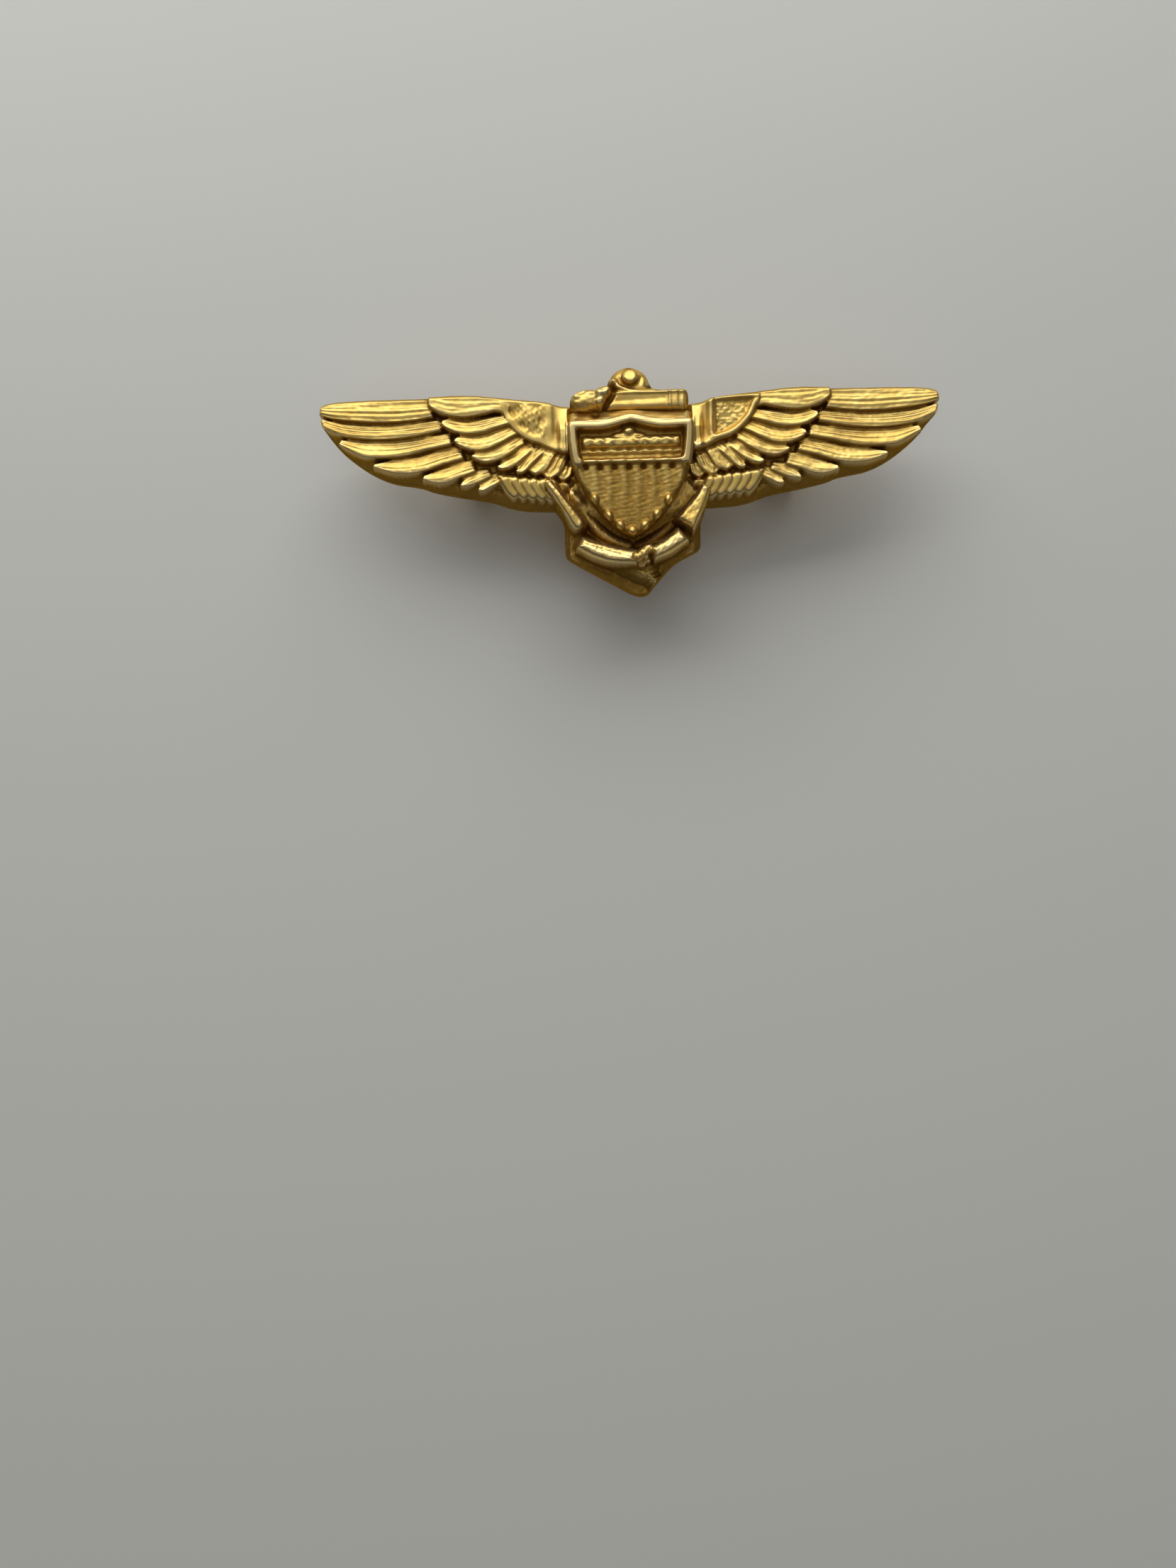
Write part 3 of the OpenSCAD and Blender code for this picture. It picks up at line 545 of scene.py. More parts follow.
rows = np.linspace(-3.075, 3.1, 160)
right_side = np.interp(rows, shield_half[::-1, 1], shield_half[::-1, 0])
shield = struck("shield_struck", rows, -right_side, right_side, shield_relief,
                base_z=shield_low.z / MM, floor=0.0, rim=0.06, count=170, across_is_y=False,
                softness=1, tarnish_shade_below=lambda x, y: 0.5 + 0.46 * np.clip((0.6 - y) / 0.2, 0, 1))
shield.data.materials.append(struck_gilt)
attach(shield, "badge")
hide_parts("shield")

# ------------------------------------------------------------------ anchor
# The anchor is a second struck piece, laid over the web of the wings. Its ring and its stock, with a
# turn of cable round it, stand above the shield. Its arms and pointed crown come out below the
# shield, and the two flukes lie over the roots of the wings. Behind the shield it is a plain plate.


def bar_height(x, y, line, widths, crest, drop, r, lean):
    """Height of a bar with square ends that follows a line, or 0 off it. widths are half widths along
    it, crest its height, drop and r how deep and how wide its edges are rounded. Its face leans, so
    that it falls by lean for each unit of y."""
    line = smooth_run(line, 6)
    run = np.linspace(0, 1, len(line))
    half_width = np.interp(run, np.linspace(0, 1, len(widths)), widths)
    way = np.gradient(line, axis=0)
    way /= np.hypot(way[:, 0], way[:, 1])[:, None]
    side = np.stack([-way[:, 1], way[:, 0]], 1) * half_width[:, None]
    outline = np.vstack([line + side, (line - side)[::-1]])
    on = inside(outline, x, y)
    d, _ = distance_to(np.vstack([outline, outline[:1]]), x, y)
    _, t = distance_to(line, x, y)
    steps = np.hypot(*np.diff(line, axis=0).T)
    mid = np.interp(t, np.concatenate([[0], np.cumsum(steps)]) / steps.sum(), line[:, 1])
    return np.where(on, crest - lean * (y - mid) - drop * (1 - round_over(d, r)), 0)


crown_left = smooth_run([(0.32, -5.735), (0.12, -5.69), (-0.2, -5.55), (-0.5, -5.38), (-1.45, -4.85),
                         (-2.0, -4.54), (-2.8, -4.08), (-3.25, -3.8), (-3.44, -3.6), (-3.5, -3.2),
                         (-3.5, -2.2), (-3.62, -1.7), (-4.02, -1.1), (-4.38, -0.6), (-4.46, -0.3),
                         (-4.36, -0.04)], 6)
crown_right = smooth_run([(0.55, -5.735), (0.72, -5.69), (0.9, -5.55), (1.05, -5.35), (1.5, -4.85),
                          (1.85, -4.45), (2.3, -4.06), (3.0, -3.68), (3.45, -3.45), (3.58, -3.2),
                          (3.6, -2.4), (3.64, -1.95), (3.8, -1.45), (3.97, -0.9), (4.02, -0.45),
                          (3.9, -0.04)], 6)
crown_line = np.vstack([crown_left, crown_right[::-1], crown_left[:1]])


def ridge_height(x, y, line, width, foot, rise):
    """Height of a half-round ridge along a line, or 0 off it. It stands on foot and is rise high."""
    d, _ = distance_to(smooth_run(line, 5), x, y)
    return np.where(d < width, foot + rise * dome((d / width) ** 2), 0)


def arms_relief(x, y):
    """The pointed crown, the two flukes, the arms and the knot, below the shield."""
    d, _ = distance_to(crown_line[:-30], x, y)
    over_web = beyond(y, -1.25, 0.03)
    # The crown falls away in steep facets from the arms to the trimmed edge.
    z = 0.6 + 0.25 * np.clip(d / 0.3, 0, 1) + 0.75 * np.clip((d - 0.3) / 0.7, 0, 1)
    tooled = np.clip((x - 0.2) / 0.4, 0, 1) * np.clip((1.7 - x) / 0.5, 0, 1)
    z = z + 0.03 * np.sin((y - 0.6 * x) * 24) * tooled
    z = z + 0.03 * dents(x, y, 0.9, 51)
    pit = np.clip((y + 3.6 - 0.12 * x ** 2) / 0.5, 0, 1)
    z = z * (1 - pit) + np.minimum(z, 0.95) * pit
    # The floor between the arms and the shield rises on to the web.
    z = np.where(np.abs(x) < 3.25, np.maximum(z, 1.0 + 0.52 * np.clip((y + 2.6) / 1.2, 0, 1)),
                 z * (1 - over_web) + 0.8 * over_web)
    leaf, _ = distance_to(np.array([(-3.0, -0.62), (-2.75, -0.95)]), x, y)
    z = z + 0.22 * near(leaf, 0, 0.26)
    left_ridge = [(-2.5, -1.45), (-2.12, -2.0), (-1.6, -2.55), (-0.95, -3.03), (-0.3, -3.3)]
    right_ridge = [(2.3, -1.9), (1.6, -2.6), (0.9, -3.05), (0.35, -3.3)]
    z = np.maximum(z, ridge_height(x, y, left_ridge, 0.34, 1.1, 0.4))
    z = np.maximum(z, ridge_height(x, y, right_ridge, 0.3, 1.0, 0.3))
    # The two flukes, then the two halves of the arms, whose faces are rolled towards the shield.
    fluke = smooth_run([(-4.28, -0.12), (-3.9, -0.62), (-3.4, -1.35), (-2.78, -2.24)], 5)
    e, t = distance_to(fluke, x, y)
    wide = np.interp(t, [0, 0.3, 0.75, 0.95, 1], [0.3, 0.31, 0.37, 0.43, 0.42])
    mid = np.interp(t, np.linspace(0, 1, len(fluke)), fluke[:, 1])
    z = np.maximum(z, np.where(e < wide, 1.75 + 0.75 * dome((e / wide) ** 2.4) - 0.3 * (y - mid), 0))
    z = np.maximum(z, bar_height(x, y, [(3.84, -0.4), (3.5, -1.15), (3.05, -1.85), (2.6, -2.5)],
                                 [0.32, 0.42, 0.54, 0.64], crest=2.5, drop=0.7, r=0.34, lean=0.28))
    left = bar_height(x, y, [(-2.78, -3.22), (-1.95, -3.6), (-1.2, -3.84), (-0.5, -3.98), (0.22, -4.04)],
                      [0.4, 0.5, 0.54, 0.5, 0.44], crest=2.68, drop=0.75, r=0.4, lean=0.34)
    right = bar_height(x, y, [(0.86, -3.95), (1.75, -3.5), (2.62, -2.9)],
                       [0.42, 0.47, 0.5], crest=2.68, drop=0.75, r=0.38, lean=0.3)
    z = np.maximum(z, np.maximum(left, right))
    # A scratch of the die along the left arm, and the knot where the cable crosses.
    z = z - np.where(left > 0, 0.03 * near(y + 0.32 * (x + 2.6), -3.36, 0.05), 0)
    for kx, ky, r, h in ((0.76, -3.6, 0.34, 2.5), (0.4, -4.3, 0.26, 2.25), (0.22, -4.02, 0.32, 2.6),
                         (0.52, -3.82, 0.34, 2.6), (0.68, -4.12, 0.24, 2.3)):
        lump = dome(((x - kx) ** 2 + (y - ky) ** 2) / r ** 2)
        z = np.where(lump > 0, np.maximum(z, h - 0.5 + 0.5 * lump - 0.25 * (y - ky)), z)
    return z + 0.014 * dents(x, y, 0.8, 50) + 0.014 * dents(x, y, 0.35, 57)


# The rows stand closer together at the point. Over the web the walls start above its back.
rows = np.concatenate([np.linspace(-5.73, -5.4, 12)[:-1], np.linspace(-5.4, -0.06, 134)])
anchor = struck("anchor_struck", rows, np.interp(rows, crown_left[:, 1], crown_left[:, 0]),
                np.interp(rows, crown_right[:, 1], crown_right[:, 0]), arms_relief,
                base_z=back_z, floor=np.where(rows > -1.12, 0.5, 0.0), rim=0.08, count=210,
                across_is_y=False, softness=1, tarnish_shade_below=1.62)


def stock_relief(x, y):
    """The ring, and the stock with its cable, above the shield."""
    # The dome of the ring, with a round boss on it that is worn down towards the top.
    r = np.hypot(x / 1.16, (y - 4.56) / 1.26)
    z = 1.45 + 0.85 * dome(r ** 3.2)
    boss = np.hypot(x - 0.03, y - 5.14)
    z = z - 0.08 * near(boss, 0.56, 0.12) * np.clip((5.3 - y) * 4, 0.15, 1)
    worn_boss = 2.2 + 0.32 * round_over(0.43 - boss, 0.24) - 0.34 * (y - 5.14)
    z = np.maximum(z, np.where(boss < 0.43, worn_boss, 0))
    # The stock is a bar worn nearly flat, with a collar at its right end.
    section = np.interp(y, [3.33, 3.38, 3.42, 3.5, 3.65, 3.95, 4.15, 4.28, 4.4, 4.5, 4.7],
                        [1.5, 1.8, 2.15, 2.4, 2.47, 2.44, 2.44, 2.52, 2.36, 2.0, 1.4])
    ends = round_over(3.02 - np.abs(x), 0.35)
    collar = np.clip((x - 1.9) / 0.12, 0, 1) * (0.07 + 0.025 * np.sin((x - 1.9) * 17))
    bar = 1.5 + (section + collar - 1.5) * ends
    bar = bar + 0.02 * dents(x * 0.4, y, 0.7, 63)
    bar = bar - 0.02 * near(y - 0.04 * x, 3.9, 0.1) * (np.abs(x - 0.4) < 1.4)
    z = np.maximum(z * np.clip((y - 4.25) * 5, 0, 1), bar)
    flare = smooth_run([(-0.8, 4.86), (-0.66, 4.66), (-0.38, 4.48), (0, 4.36), (0.5, 4.3), (1.2, 4.3)], 5)
    e, t = distance_to(flare, x, y)
    z = np.maximum(z, np.where(e < 0.26, 2.15 + 0.38 * np.clip(1 - (e / 0.26) ** 2, 0, 1) - 0.05 * t, 0))
    # The coiled cable is one worn lump at the left, with a strand over its upper right.
    lumps = 0
    for lx, ly, a, b, turn, h in ((-2.15, 3.95, 0.9, 0.56, 0.1, 2.74), (-2.55, 4.05, 0.5, 0.4, 0, 2.66),
                                  (-1.42, 4.2, 0.62, 0.38, 0.5, 2.82), (-1.5, 3.82, 0.36, 0.3, 0.3, 2.84),
                                  (-1.52, 3.56, 0.26, 0.2, -0.2, 2.3),
                                  (-2.5, 3.66, 0.42, 0.24, 0.1, 2.45)):
        u = (x - lx) * math.cos(turn) + (y - ly) * math.sin(turn)
        v = (y - ly) * math.cos(turn) - (x - lx) * math.sin(turn)
        lump = dome((u / a) ** 2 + (v / b) ** 2)
        lumps = np.maximum(lumps, np.where(lump > 0, h - 0.55 + 0.55 * lump ** 0.8, 0))
    z = np.maximum(z, lumps + (0.03 * dents(x, y, 0.7, 61) + 0.02 * dents(x, y, 0.3, 67)) * (lumps > 0))
    groove = smooth_run([(-0.84, 4.7), (-0.8, 4.42), (-0.9, 4.12), (-1.16, 3.8), (-1.3, 3.52)], 5)
    e, t = distance_to(groove, x, y)
    z = z - (0.1 + 0.35 * t) * near(e, 0, 0.12)
    return z + 0.012 * dents(x, y, 0.7, 62)


ring_left = smooth_run([(-2.6, 3.33), (-2.9, 3.42), (-3.03, 3.62), (-3.05, 3.85), (-2.95, 4.08),
                        (-2.7, 4.3), (-2.27, 4.49), (-1.64, 4.63), (-1.2, 4.76), (-1.06, 4.92),
                        (-0.98, 5.1), (-0.85, 5.35), (-0.62, 5.56), (-0.35, 5.68), (-0.1, 5.735)], 6)
ring_right = smooth_run([(2.6, 3.33), (2.86, 3.42), (2.98, 3.65), (3.0, 4.05), (2.9, 4.34), (2.65, 4.5),
                         (2.0, 4.56), (1.5, 4.64), (1.18, 4.74), (1.02, 4.9), (0.94, 5.12),
                         (0.79, 5.36), (0.56, 5.56), (0.3, 5.68), (0.1, 5.735)], 6)
rows = np.linspace(3.335, 5.73, 72)
stock = struck("stock_struck", rows, np.interp(rows, ring_left[:, 1], ring_left[:, 0]),
               np.interp(rows, ring_right[:, 1], ring_right[:, 0]), stock_relief,
               base_z=back_z, floor=0.7, rim=0.08, count=160, across_is_y=False, softness=1,
               tarnish_shade_below=1.5)
# The plain plate behind the shield keeps inside it, and widens to a ledge above its top edge.
ledge_y = 2.6
ledge_half = 3.16
plate_rows = np.concatenate([np.linspace(-2.2, ledge_y, 20), np.linspace(ledge_y + 0.03, 3.42, 36)])
plate_half = np.interp(plate_rows, shield_half[::-1, 1], shield_half[::-1, 0]) * 0.84
plate_half = np.where(plate_rows > ledge_y, ledge_half, plate_half)


def seat_relief(x, y):
    """A flat seat for the shield, and a ledge that slopes down to the stock from the shield's edge."""
    top_line = np.interp(np.abs(x), [0, 0.3, 0.9, 1.6, 2.9, 3.16], [3.14, 3.09, 2.93, 2.81, 2.83, 2.72])
    ledge = 2.58 - 0.75 * np.clip(y - top_line, 0, 0.7) + 0.015 * dents(x, y * 2, 0.8, 65)
    ledge = ledge - 0.25 * near(x, -1.75, 0.16) * near(y, 3.2, 0.14)
    ledge = ledge - 0.24 * np.clip((np.abs(x) - 2.7) / 0.46, 0, 1) ** 2
    return np.where(y > top_line, ledge, 1.98)


seat = struck("anchor_seat", plate_rows, -plate_half, plate_half, seat_relief,
              base_z=back_z, floor=1.2, rim=0.03, count=60, across_is_y=False, softness=0,
              tarnish_shade_below=1.5)
for part in (anchor, stock, seat):
    part.data.materials.append(struck_gilt)
with bpy.context.temp_override(active_object=anchor, selected_editable_objects=[anchor, stock, seat]):
    bpy.ops.object.join()
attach(anchor, "badge")
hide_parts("anchor")

# ------------------------------------------------------------------ shield studs
# Two brass posts soldered into the back of the shield. They pass through the anchor and the web,
# and their tails are hammered over into low domes behind.
studs_low, studs_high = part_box("shield_studs")
stud_r = 0.5
stud_head_r = (studs_high.x - studs_low.x) / 2 / MM
stud_places = [studs_low.y / MM + stud_head_r, studs_high.y / MM - stud_head_r]


def turned(bm, profile, n, place):
    """A turned solid. profile is a closed run of (radius, height) round the local Z axis."""
    rings = []
    for k in range(n):
        a = 2 * math.pi * k / n
        rings.append([bm.verts.new(place @ Vector((r * math.cos(a), r * math.sin(a), h)))
                      for r, h in profile])
    for k in range(n):
        here, there = rings[k], rings[(k + 1) % n]
        for i in range(len(profile)):
            j = (i + 1) % len(profile)
            corners = [here[i], there[i], there[j], here[j]]
            off_axis = profile[i][0] + profile[j][0] > 1e-6
            if off_axis:
                bm.faces.new(corners)
    bmesh.ops.remove_doubles(bm, verts=bm.verts, dist=1e-5)


def piece(name, bm, material, bevel):
    """A finished piece in metres from a bmesh in millimetres, with its edges eased."""
    bmesh.ops.recalc_face_normals(bm, faces=bm.faces)
    mesh = bpy.data.meshes.new(name)
    bm.to_mesh(mesh)
    bm.free()
    mesh.transform(Matrix.Scale(MM, 4))
    mesh.polygons.foreach_set("use_smooth", np.ones(len(mesh.polygons), bool))
    obj = bpy.data.objects.new(name, mesh)
    bpy.context.scene.collection.objects.link(obj)
    if bevel:
        ease = obj.modifiers.new("eased_edges", "BEVEL")
        ease.width = bevel * MM
        ease.segments = 3
        ease.limit_method = "ANGLE"
        ease.angle_limit = math.radians(40)
        ease.harden_normals = True
    mesh.materials.append(material)
    return obj


plain_gilt = gilt("plain_gilt", shade_and_tarnish=False, scratch=(0.12, 1, 1), shade=1.0)
bm = bmesh.new()
for stud_y in stud_places:
    spot = Matrix.Translation((0, stud_y, 0))
    dome = [(0, studs_low.z / MM)]
    for k in range(1, 7):
        a = math.radians(15 * k)
        dome.append((0.28 + (stud_head_r - 0.3) * math.sin(a), back_z - 0.02 - 0.33 * math.cos(a)))
    turned(bm, dome + [(stud_r, back_z), (stud_r, studs_high.z / MM), (0, studs_high.z / MM)], 40, spot)
# Hammer marks on the domes.
rng = np.random.default_rng(7)
for v in bm.verts:
    if v.co.z < back_z - 0.05:
        v.co.z += 0.025 * math.sin(v.co.x * 9 + 1.3) * math.sin(v.co.y * 8 + 0.4) + rng.uniform(0, 0.006)
studs = piece("shield_studs_peened", bm, plain_gilt, bevel=0)
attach(studs, "badge")
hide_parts("shield_studs")

# ------------------------------------------------------------------ brooch patches
# Two small oval brass plates, cut from sheet. Each fitting was first soldered to its patch, and the
# patch then to the back of the badge.


def oval(low, high, grow=0.0):
    """A line with round ends that fills the box between two corners and stands off it by grow."""
    steps = 36
    width = high.y - low.y
    half = (high.x - low.x - width) / 2
    r = width / 2 + grow
    line = []
    for k in range(2 * steps):
        a = math.pi * (k + 0.5) / steps
        centre_x = (low.x + high.x) / 2 + math.copysign(half, math.cos(a))
        line.append((centre_x + r * math.cos(a), (low.y + high.y) / 2 + r * math.sin(a)))
    return line


def extruded(bm, line, low, high, place=Matrix.Identity(4)):
    """A solid from a closed line, between two heights along the local Z axis."""
    bottom = [bm.verts.new(place @ Vector((a, b, low))) for a, b in line]
    top = [bm.verts.new(place @ Vector((a, b, high))) for a, b in line]
    bm.faces.new(bottom[::-1])
    bm.faces.new(top)
    for k in range(len(line)):
        m = (k + 1) % len(line)
        bm.faces.new((bottom[k], bottom[m], top[m], top[k]))


patches = {}
for name in ("joint_patch", "catch_patch"):
    low, high = (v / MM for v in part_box(name))
    patches[name] = (low, high)
    bm = bmesh.new()
    extruded(bm, oval(low, high), low.z, high.z)
    patch = piece(name + "_plate", bm, plain_gilt, bevel=0.07)
    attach(patch, "badge")
    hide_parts(name)

# ------------------------------------------------------------------ joint ears
# The joint is a folded brass knuckle: two round ears on one foot, soldered to the first patch. The
# tong's eye stands between the ears.
ears_low, ears_high = (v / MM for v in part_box("joint_ears"))
tong_low, tong_high = (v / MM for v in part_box("pin_tong"))
hinge = Vector(((ears_low.x + ears_high.x) / 2, (ears_low.y + ears_high.y) / 2,
                (tong_low.z + tong_high.z) / 2))
ear_r = (ears_high.x - ears_low.x) / 2
ear_t = 0.45
foot_t = 0.3
along_y = Matrix.Rotation(math.radians(90), 4, "X")
bm = bmesh.new()
ear = [(ear_r * math.cos(math.radians(a)), ear_r * math.sin(math.radians(a))) for a in range(180, 361, 6)]
ear += [(ear_r, ears_high.z - hinge.z - foot_t * 0.5), (-ear_r, ears_high.z - hinge.z - foot_t * 0.5)]
for y0 in (ears_low.y, ears_high.y - ear_t):
    place = Matrix.Translation((hinge.x, y0 + ear_t, hinge.z)) @ along_y
    extruded(bm, ear, 0, ear_t, place)
foot = [(ears_low.x, ears_low.y), (ears_high.x, ears_low.y),
        (ears_high.x, ears_high.y), (ears_low.x, ears_high.y)]
extruded(bm, foot, ears_high.z - foot_t, ears_high.z)
ears = piece("joint_knuckle", bm, plain_gilt, bevel=0.06)
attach(ears, "badge")
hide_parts("joint_ears")

# ------------------------------------------------------------------ joint rivet
# A piece of brass wire through both ears and the tong's eye, hammered over into a small dome at each
# end. The tong turns on it.
rivet_low, rivet_high = (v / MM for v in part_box("joint_rivet"))
rivet_r = 0.35
head_r = (rivet_high.x - rivet_low.x) / 2
half = (rivet_high.y - rivet_low.y) / 2
outer = (ears_high.y - ears_low.y) / 2
profile = [(0, -half)]
for a in (25, 45, 65, 80):
    profile.append((head_r * math.sin(math.radians(a)) * 0.98,
                    -outer - (half - outer) * math.cos(math.radians(a))))
profile += [(head_r, -outer + 0.01), (rivet_r, -outer + 0.01)]
profile += [(r, -h) for r, h in reversed(profile)]
bm = bmesh.new()
turned(bm, profile, 40, Matrix.Translation(hinge) @ along_y)
rivet = piece("joint_rivet_peened", bm, plain_gilt, bevel=0)
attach(rivet, "badge")
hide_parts("joint_rivet")

# ------------------------------------------------------------------ pin tong
# The tong is one piece of hard brass wire. One end is hammered into a flat eye with a squared neck,
# and the other is ground to a long point. It turns on the rivet.
wire_r = 0.4
neck_r = 0.39
bore_r = 0.38
point_r = 0.1
taper = 4.2
eye_r = hinge.x - tong_low.x
reach = tong_high.x - hinge.x
bm = bmesh.new()
ring = [(bore_r, -wire_r + 0.05), (bore_r + 0.04, -wire_r), (eye_r - 0.08, -wire_r),
        (eye_r, -wire_r + 0.1), (eye_r, wire_r - 0.1), (eye_r - 0.08, wire_r),
        (bore_r + 0.04, wire_r), (bore_r, wire_r - 0.05)]
turned(bm, ring, 48, Matrix.Translation(hinge) @ along_y)
# Along the wire: the distance from the hinge, the radius and how square it is, from 2 for round.
stations = [(0.6, neck_r, 9), (1.3, neck_r, 9), (1.5, neck_r, 6), (1.75, wire_r, 3.2), (2.0, wire_r, 2)]
stations += [(x, wire_r, 2) for x in (6, 10, reach - taper)]
for k in range(1, 13):
    t = k / 13
    r = wire_r * (1 - t) + point_r * t + 0.03 * math.sin(math.pi * t)
    stations.append((reach - taper + taper * t * 0.99, r, 2))
stations += [(reach - 0.02, 0.085, 2), (reach, 0.035, 2)]
sides = 32
loops = []
for x, r, square in stations:
    loop = []
    for k in range(sides):
        a = 2 * math.pi * (k + 0.5) / sides
        y = r * math.copysign(abs(math.cos(a)) ** (2 / square), math.cos(a))
        z = r * math.copysign(abs(math.sin(a)) ** (2 / square), math.sin(a))
        loop.append(bm.verts.new(hinge + Vector((x, y, z))))
    loops.append(loop)
for here, there in zip(loops[:-1], loops[1:]):
    for k in range(sides):
        m = (k + 1) % sides
        bm.faces.new((here[k], here[m], there[m], there[k]))
bm.faces.new(loops[0][::-1])
bm.faces.new(loops[-1])
tong = piece("pin_tong_wire", bm, plain_gilt, bevel=0)
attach(tong, "tong")
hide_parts("pin_tong")

# ------------------------------------------------------------------ catch housing
# Two open brass rings on one block, soldered to the second patch. Their mouths face away from the
# badge, so that the tong's point drops in between the lips.
house_low, house_high = (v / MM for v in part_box("catch_housing"))
catch = Vector(((house_low.x + house_high.x) / 2, (house_low.y + house_high.y) / 2, hinge.z))
catch_l = house_high.x - house_low.x
ring_l = 0.7
ring_r = (house_high.y - house_low.y) / 2
sleeve_r = 0.85
mouth = 0.8
along_x = Matrix.Rotation(math.radians(90), 4, "Y") @ Matrix.Rotation(math.radians(90), 4, "Z")


def open_ring(outer_r, inner_r, gap, n):
    """A C-shaped line whose gap faces down."""
    a0 = math.asin(gap / 2 / outer_r)
    a1 = math.asin(min(1, gap / 2 / inner_r))
    line = []
    for k in range(n + 1):
        a = -math.pi / 2 + a0 + (2 * math.pi - 2 * a0) * k / n
        line.append((outer_r * math.cos(a), outer_r * math.sin(a)))
    for k in range(n, -1, -1):
        a = -math.pi / 2 + a1 + (2 * math.pi - 2 * a1) * k / n
        line.append((inner_r * math.cos(a), inner_r * math.sin(a)))
    return line


bm = bmesh.new()
for x0 in (house_low.x, house_high.x - ring_l):
    extruded(bm, open_ring(ring_r, sleeve_r + 0.03, mouth, 48), 0, ring_l,
             Matrix.Translation((x0, catch.y, catch.z)) @ along_x)
set_in = 0.04
block_half = 0.8
block = [(house_low.x + set_in, catch.y - block_half), (house_high.x - set_in, catch.y - block_half),
         (house_high.x - set_in, catch.y + block_half), (house_low.x + set_in, catch.y + block_half)]
extruded(bm, block, catch.z + sleeve_r + 0.15, house_high.z)
housing = piece("catch_rings", bm, plain_gilt, bevel=0.05)
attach(housing, "badge")
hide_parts("catch_housing")

# ------------------------------------------------------------------ solder
# Soft solder, drawn into a narrow concave bead round both patches, the foot of the joint and the block
# of the catch. It was gilt with the rest, and is a little darker than the brass.


def stood_off(rectangle, middle, grow):
    """The corners of a rectangle, each moved outwards by grow both ways."""
    return [(a + (grow if a > middle.x else -grow), b + (grow if b > middle.y else -grow))
            for a, b in rectangle]


def bead(bm, line_at, wide, foot_z, lip_z):
    """A concave bead from a foot on one face to a lip on the side of what stands on it."""
    rings = []
    for grow, share in ((wide, 0), (wide * 0.45, 0.3), (wide * 0.15, 0.65), (0, 1), (-0.15, 0.9),
                        (-0.15, 0)):
        ring = []
        for k, (a, b) in enumerate(line_at(grow)):
            wobble = 1 + 0.1 * math.sin(k * 0.9) + 0.07 * math.sin(k * 2.3)
            ring.append(bm.verts.new((a, b, foot_z + (lip_z - foot_z) * share * wobble)))
        rings.append(ring)
    for r in range(len(rings)):
        near, far = rings[r], rings[(r + 1) % len(rings)]
        for k in range(len(near)):
            m = (k + 1) % len(near)
            bm.faces.new((near[k], near[m], far[m], far[k]))


bm = bmesh.new()
for low, high in patches.values():
    bead(bm, lambda grow: oval(low, high, grow), 0.2, high.z, high.z - 0.17)
bead(bm, lambda grow: stood_off(foot, hinge, grow), 0.12, ears_high.z, ears_high.z - 0.12)
bead(bm, lambda grow: stood_off(block, catch, grow), 0.14, house_high.z, house_high.z - 0.13)
solder_skin = gilt("soft_solder", shade_and_tarnish=False, scratch=(1, 1, 1), shade=0.86)
solder = piece("soft_solder_beads", bm, solder_skin, bevel=0)
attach(solder, "badge")

# ------------------------------------------------------------------ catch sleeve
# A slotted tube that turns in the two rings. Its lever stands out between them, and pushing it
# down carries the slot round, so that the closed side of the tube holds the tong in.
lever_angle = 30
lever_r = 2.0
lever_w = 0.8
bm = bmesh.new()
extruded(bm, open_ring(sleeve_r, mouth / 2, mouth, 40), 0, catch_l,
         Matrix.Translation((house_low.x, catch.y, catch.z)) @ along_x)
tilt = (Matrix.Translation((catch.x - lever_w / 2, catch.y, catch.z)) @ along_x
        @ Matrix.Rotation(math.radians(lever_angle), 4, "Z"))
tab_root = 0.62
tab_end = lever_r - 0.35
tab = [(tab_root, -0.2), (tab_end, -0.15), (tab_end, 0.15), (tab_root, 0.2)]
extruded(bm, tab, 0.02, lever_w - 0.02, tilt)
roll_r = 0.26
roll = [(lever_r - roll_r + roll_r * math.cos(math.radians(a)), roll_r * math.sin(math.radians(a)))
        for a in range(0, 360, 12)]
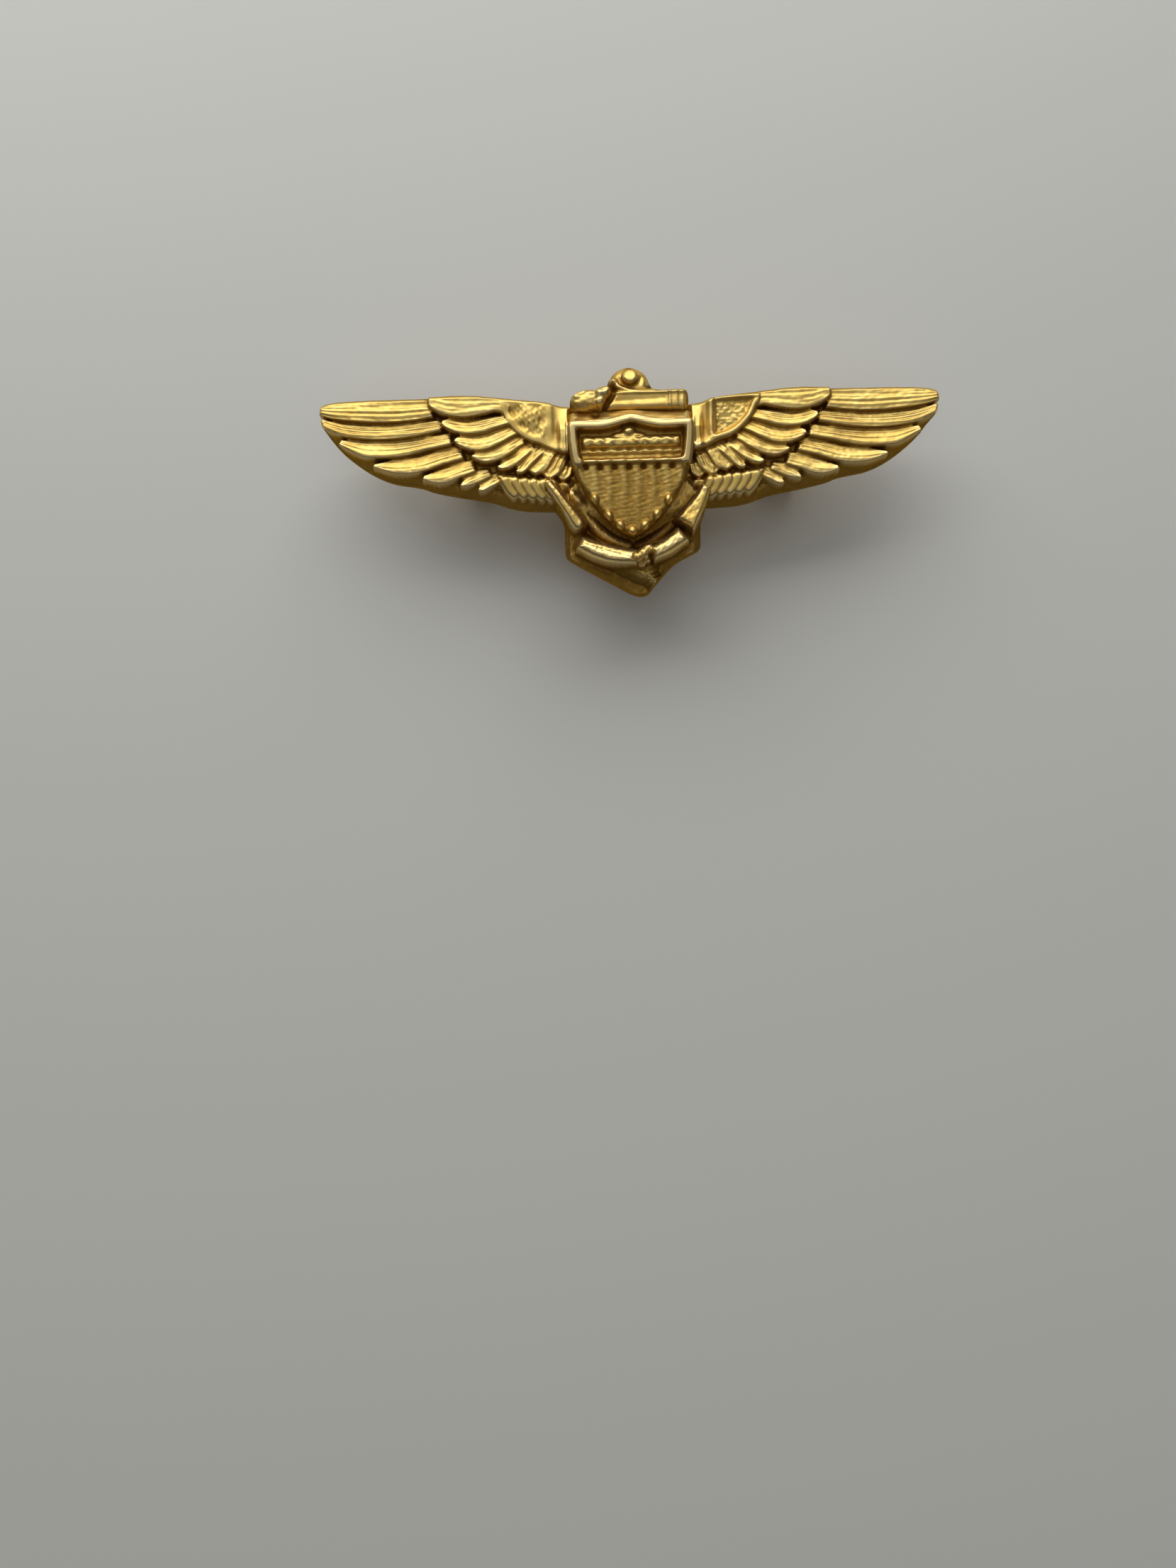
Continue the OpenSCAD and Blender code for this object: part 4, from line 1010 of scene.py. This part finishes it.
extruded(bm, roll, 0, lever_w, tilt)
sleeve = piece("catch_sleeve_tube", bm, plain_gilt, bevel=0.04)
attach(sleeve, "sleeve")
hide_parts("catch_sleeve")

# ------------------------------------------------------------------ floor, light and camera
# A pale satin sheet under the badge, a soft window beyond its top edge and a weak light overhead.
# The camera looks straight down from close by, with the badge above the middle of its view.
bpy.ops.mesh.primitive_plane_add(size=1.2, location=(0, 0, 0))
floor = bpy.context.object
floor.name = "floor"
sheet = bpy.data.materials.new("pale_sheet")
sheet.use_nodes = True
sheet_skin = sheet.node_tree.nodes["Principled BSDF"]
sheet_skin.inputs["Base Color"].default_value = (0.86, 0.865, 0.835, 1)
sheet_skin.inputs["Roughness"].default_value = 0.42
floor.data.materials.append(sheet)

world = bpy.data.worlds.new("room")
world.use_nodes = True
background = world.node_tree.nodes["Background"]
background.inputs["Color"].default_value = (0.9, 0.88, 0.84, 1)
background.inputs["Strength"].default_value = 0.08
bpy.context.scene.world = world


def soft_light(name, place, size, power, colour):
    """A rectangular light that faces the badge."""
    light = bpy.data.lights.new(name, "AREA")
    light.shape = "RECTANGLE"
    light.size = size[0]
    light.size_y = size[1]
    light.energy = power
    light.color = colour
    lamp = bpy.data.objects.new(name, light)
    lamp.location = place
    lamp.rotation_euler = (-Vector(place)).to_track_quat("-Z", "Y").to_euler()
    bpy.context.scene.collection.objects.link(lamp)


bpy.context.scene.view_settings.view_transform = "Standard"
soft_light("window", (-0.03, 0.165, 0.12), (0.34, 0.15), 0.31, (1, 1, 0.97))
soft_light("ceiling", (0, 0.05, 0.5), (0.8, 0.8), 0.6, (1, 0.99, 0.96))

lens = bpy.data.cameras.new("camera")
lens.sensor_fit = "VERTICAL"
lens.sensor_height = 36
lens.lens = 27.0814
lens.clip_start = 0.005
camera = bpy.data.objects.new("camera", lens)
camera.location = (-0.00263, -0.015531, 0.0653)
camera.rotation_euler = (0, 0, math.radians(-1.5))
bpy.context.scene.collection.objects.link(camera)
bpy.context.scene.camera = camera
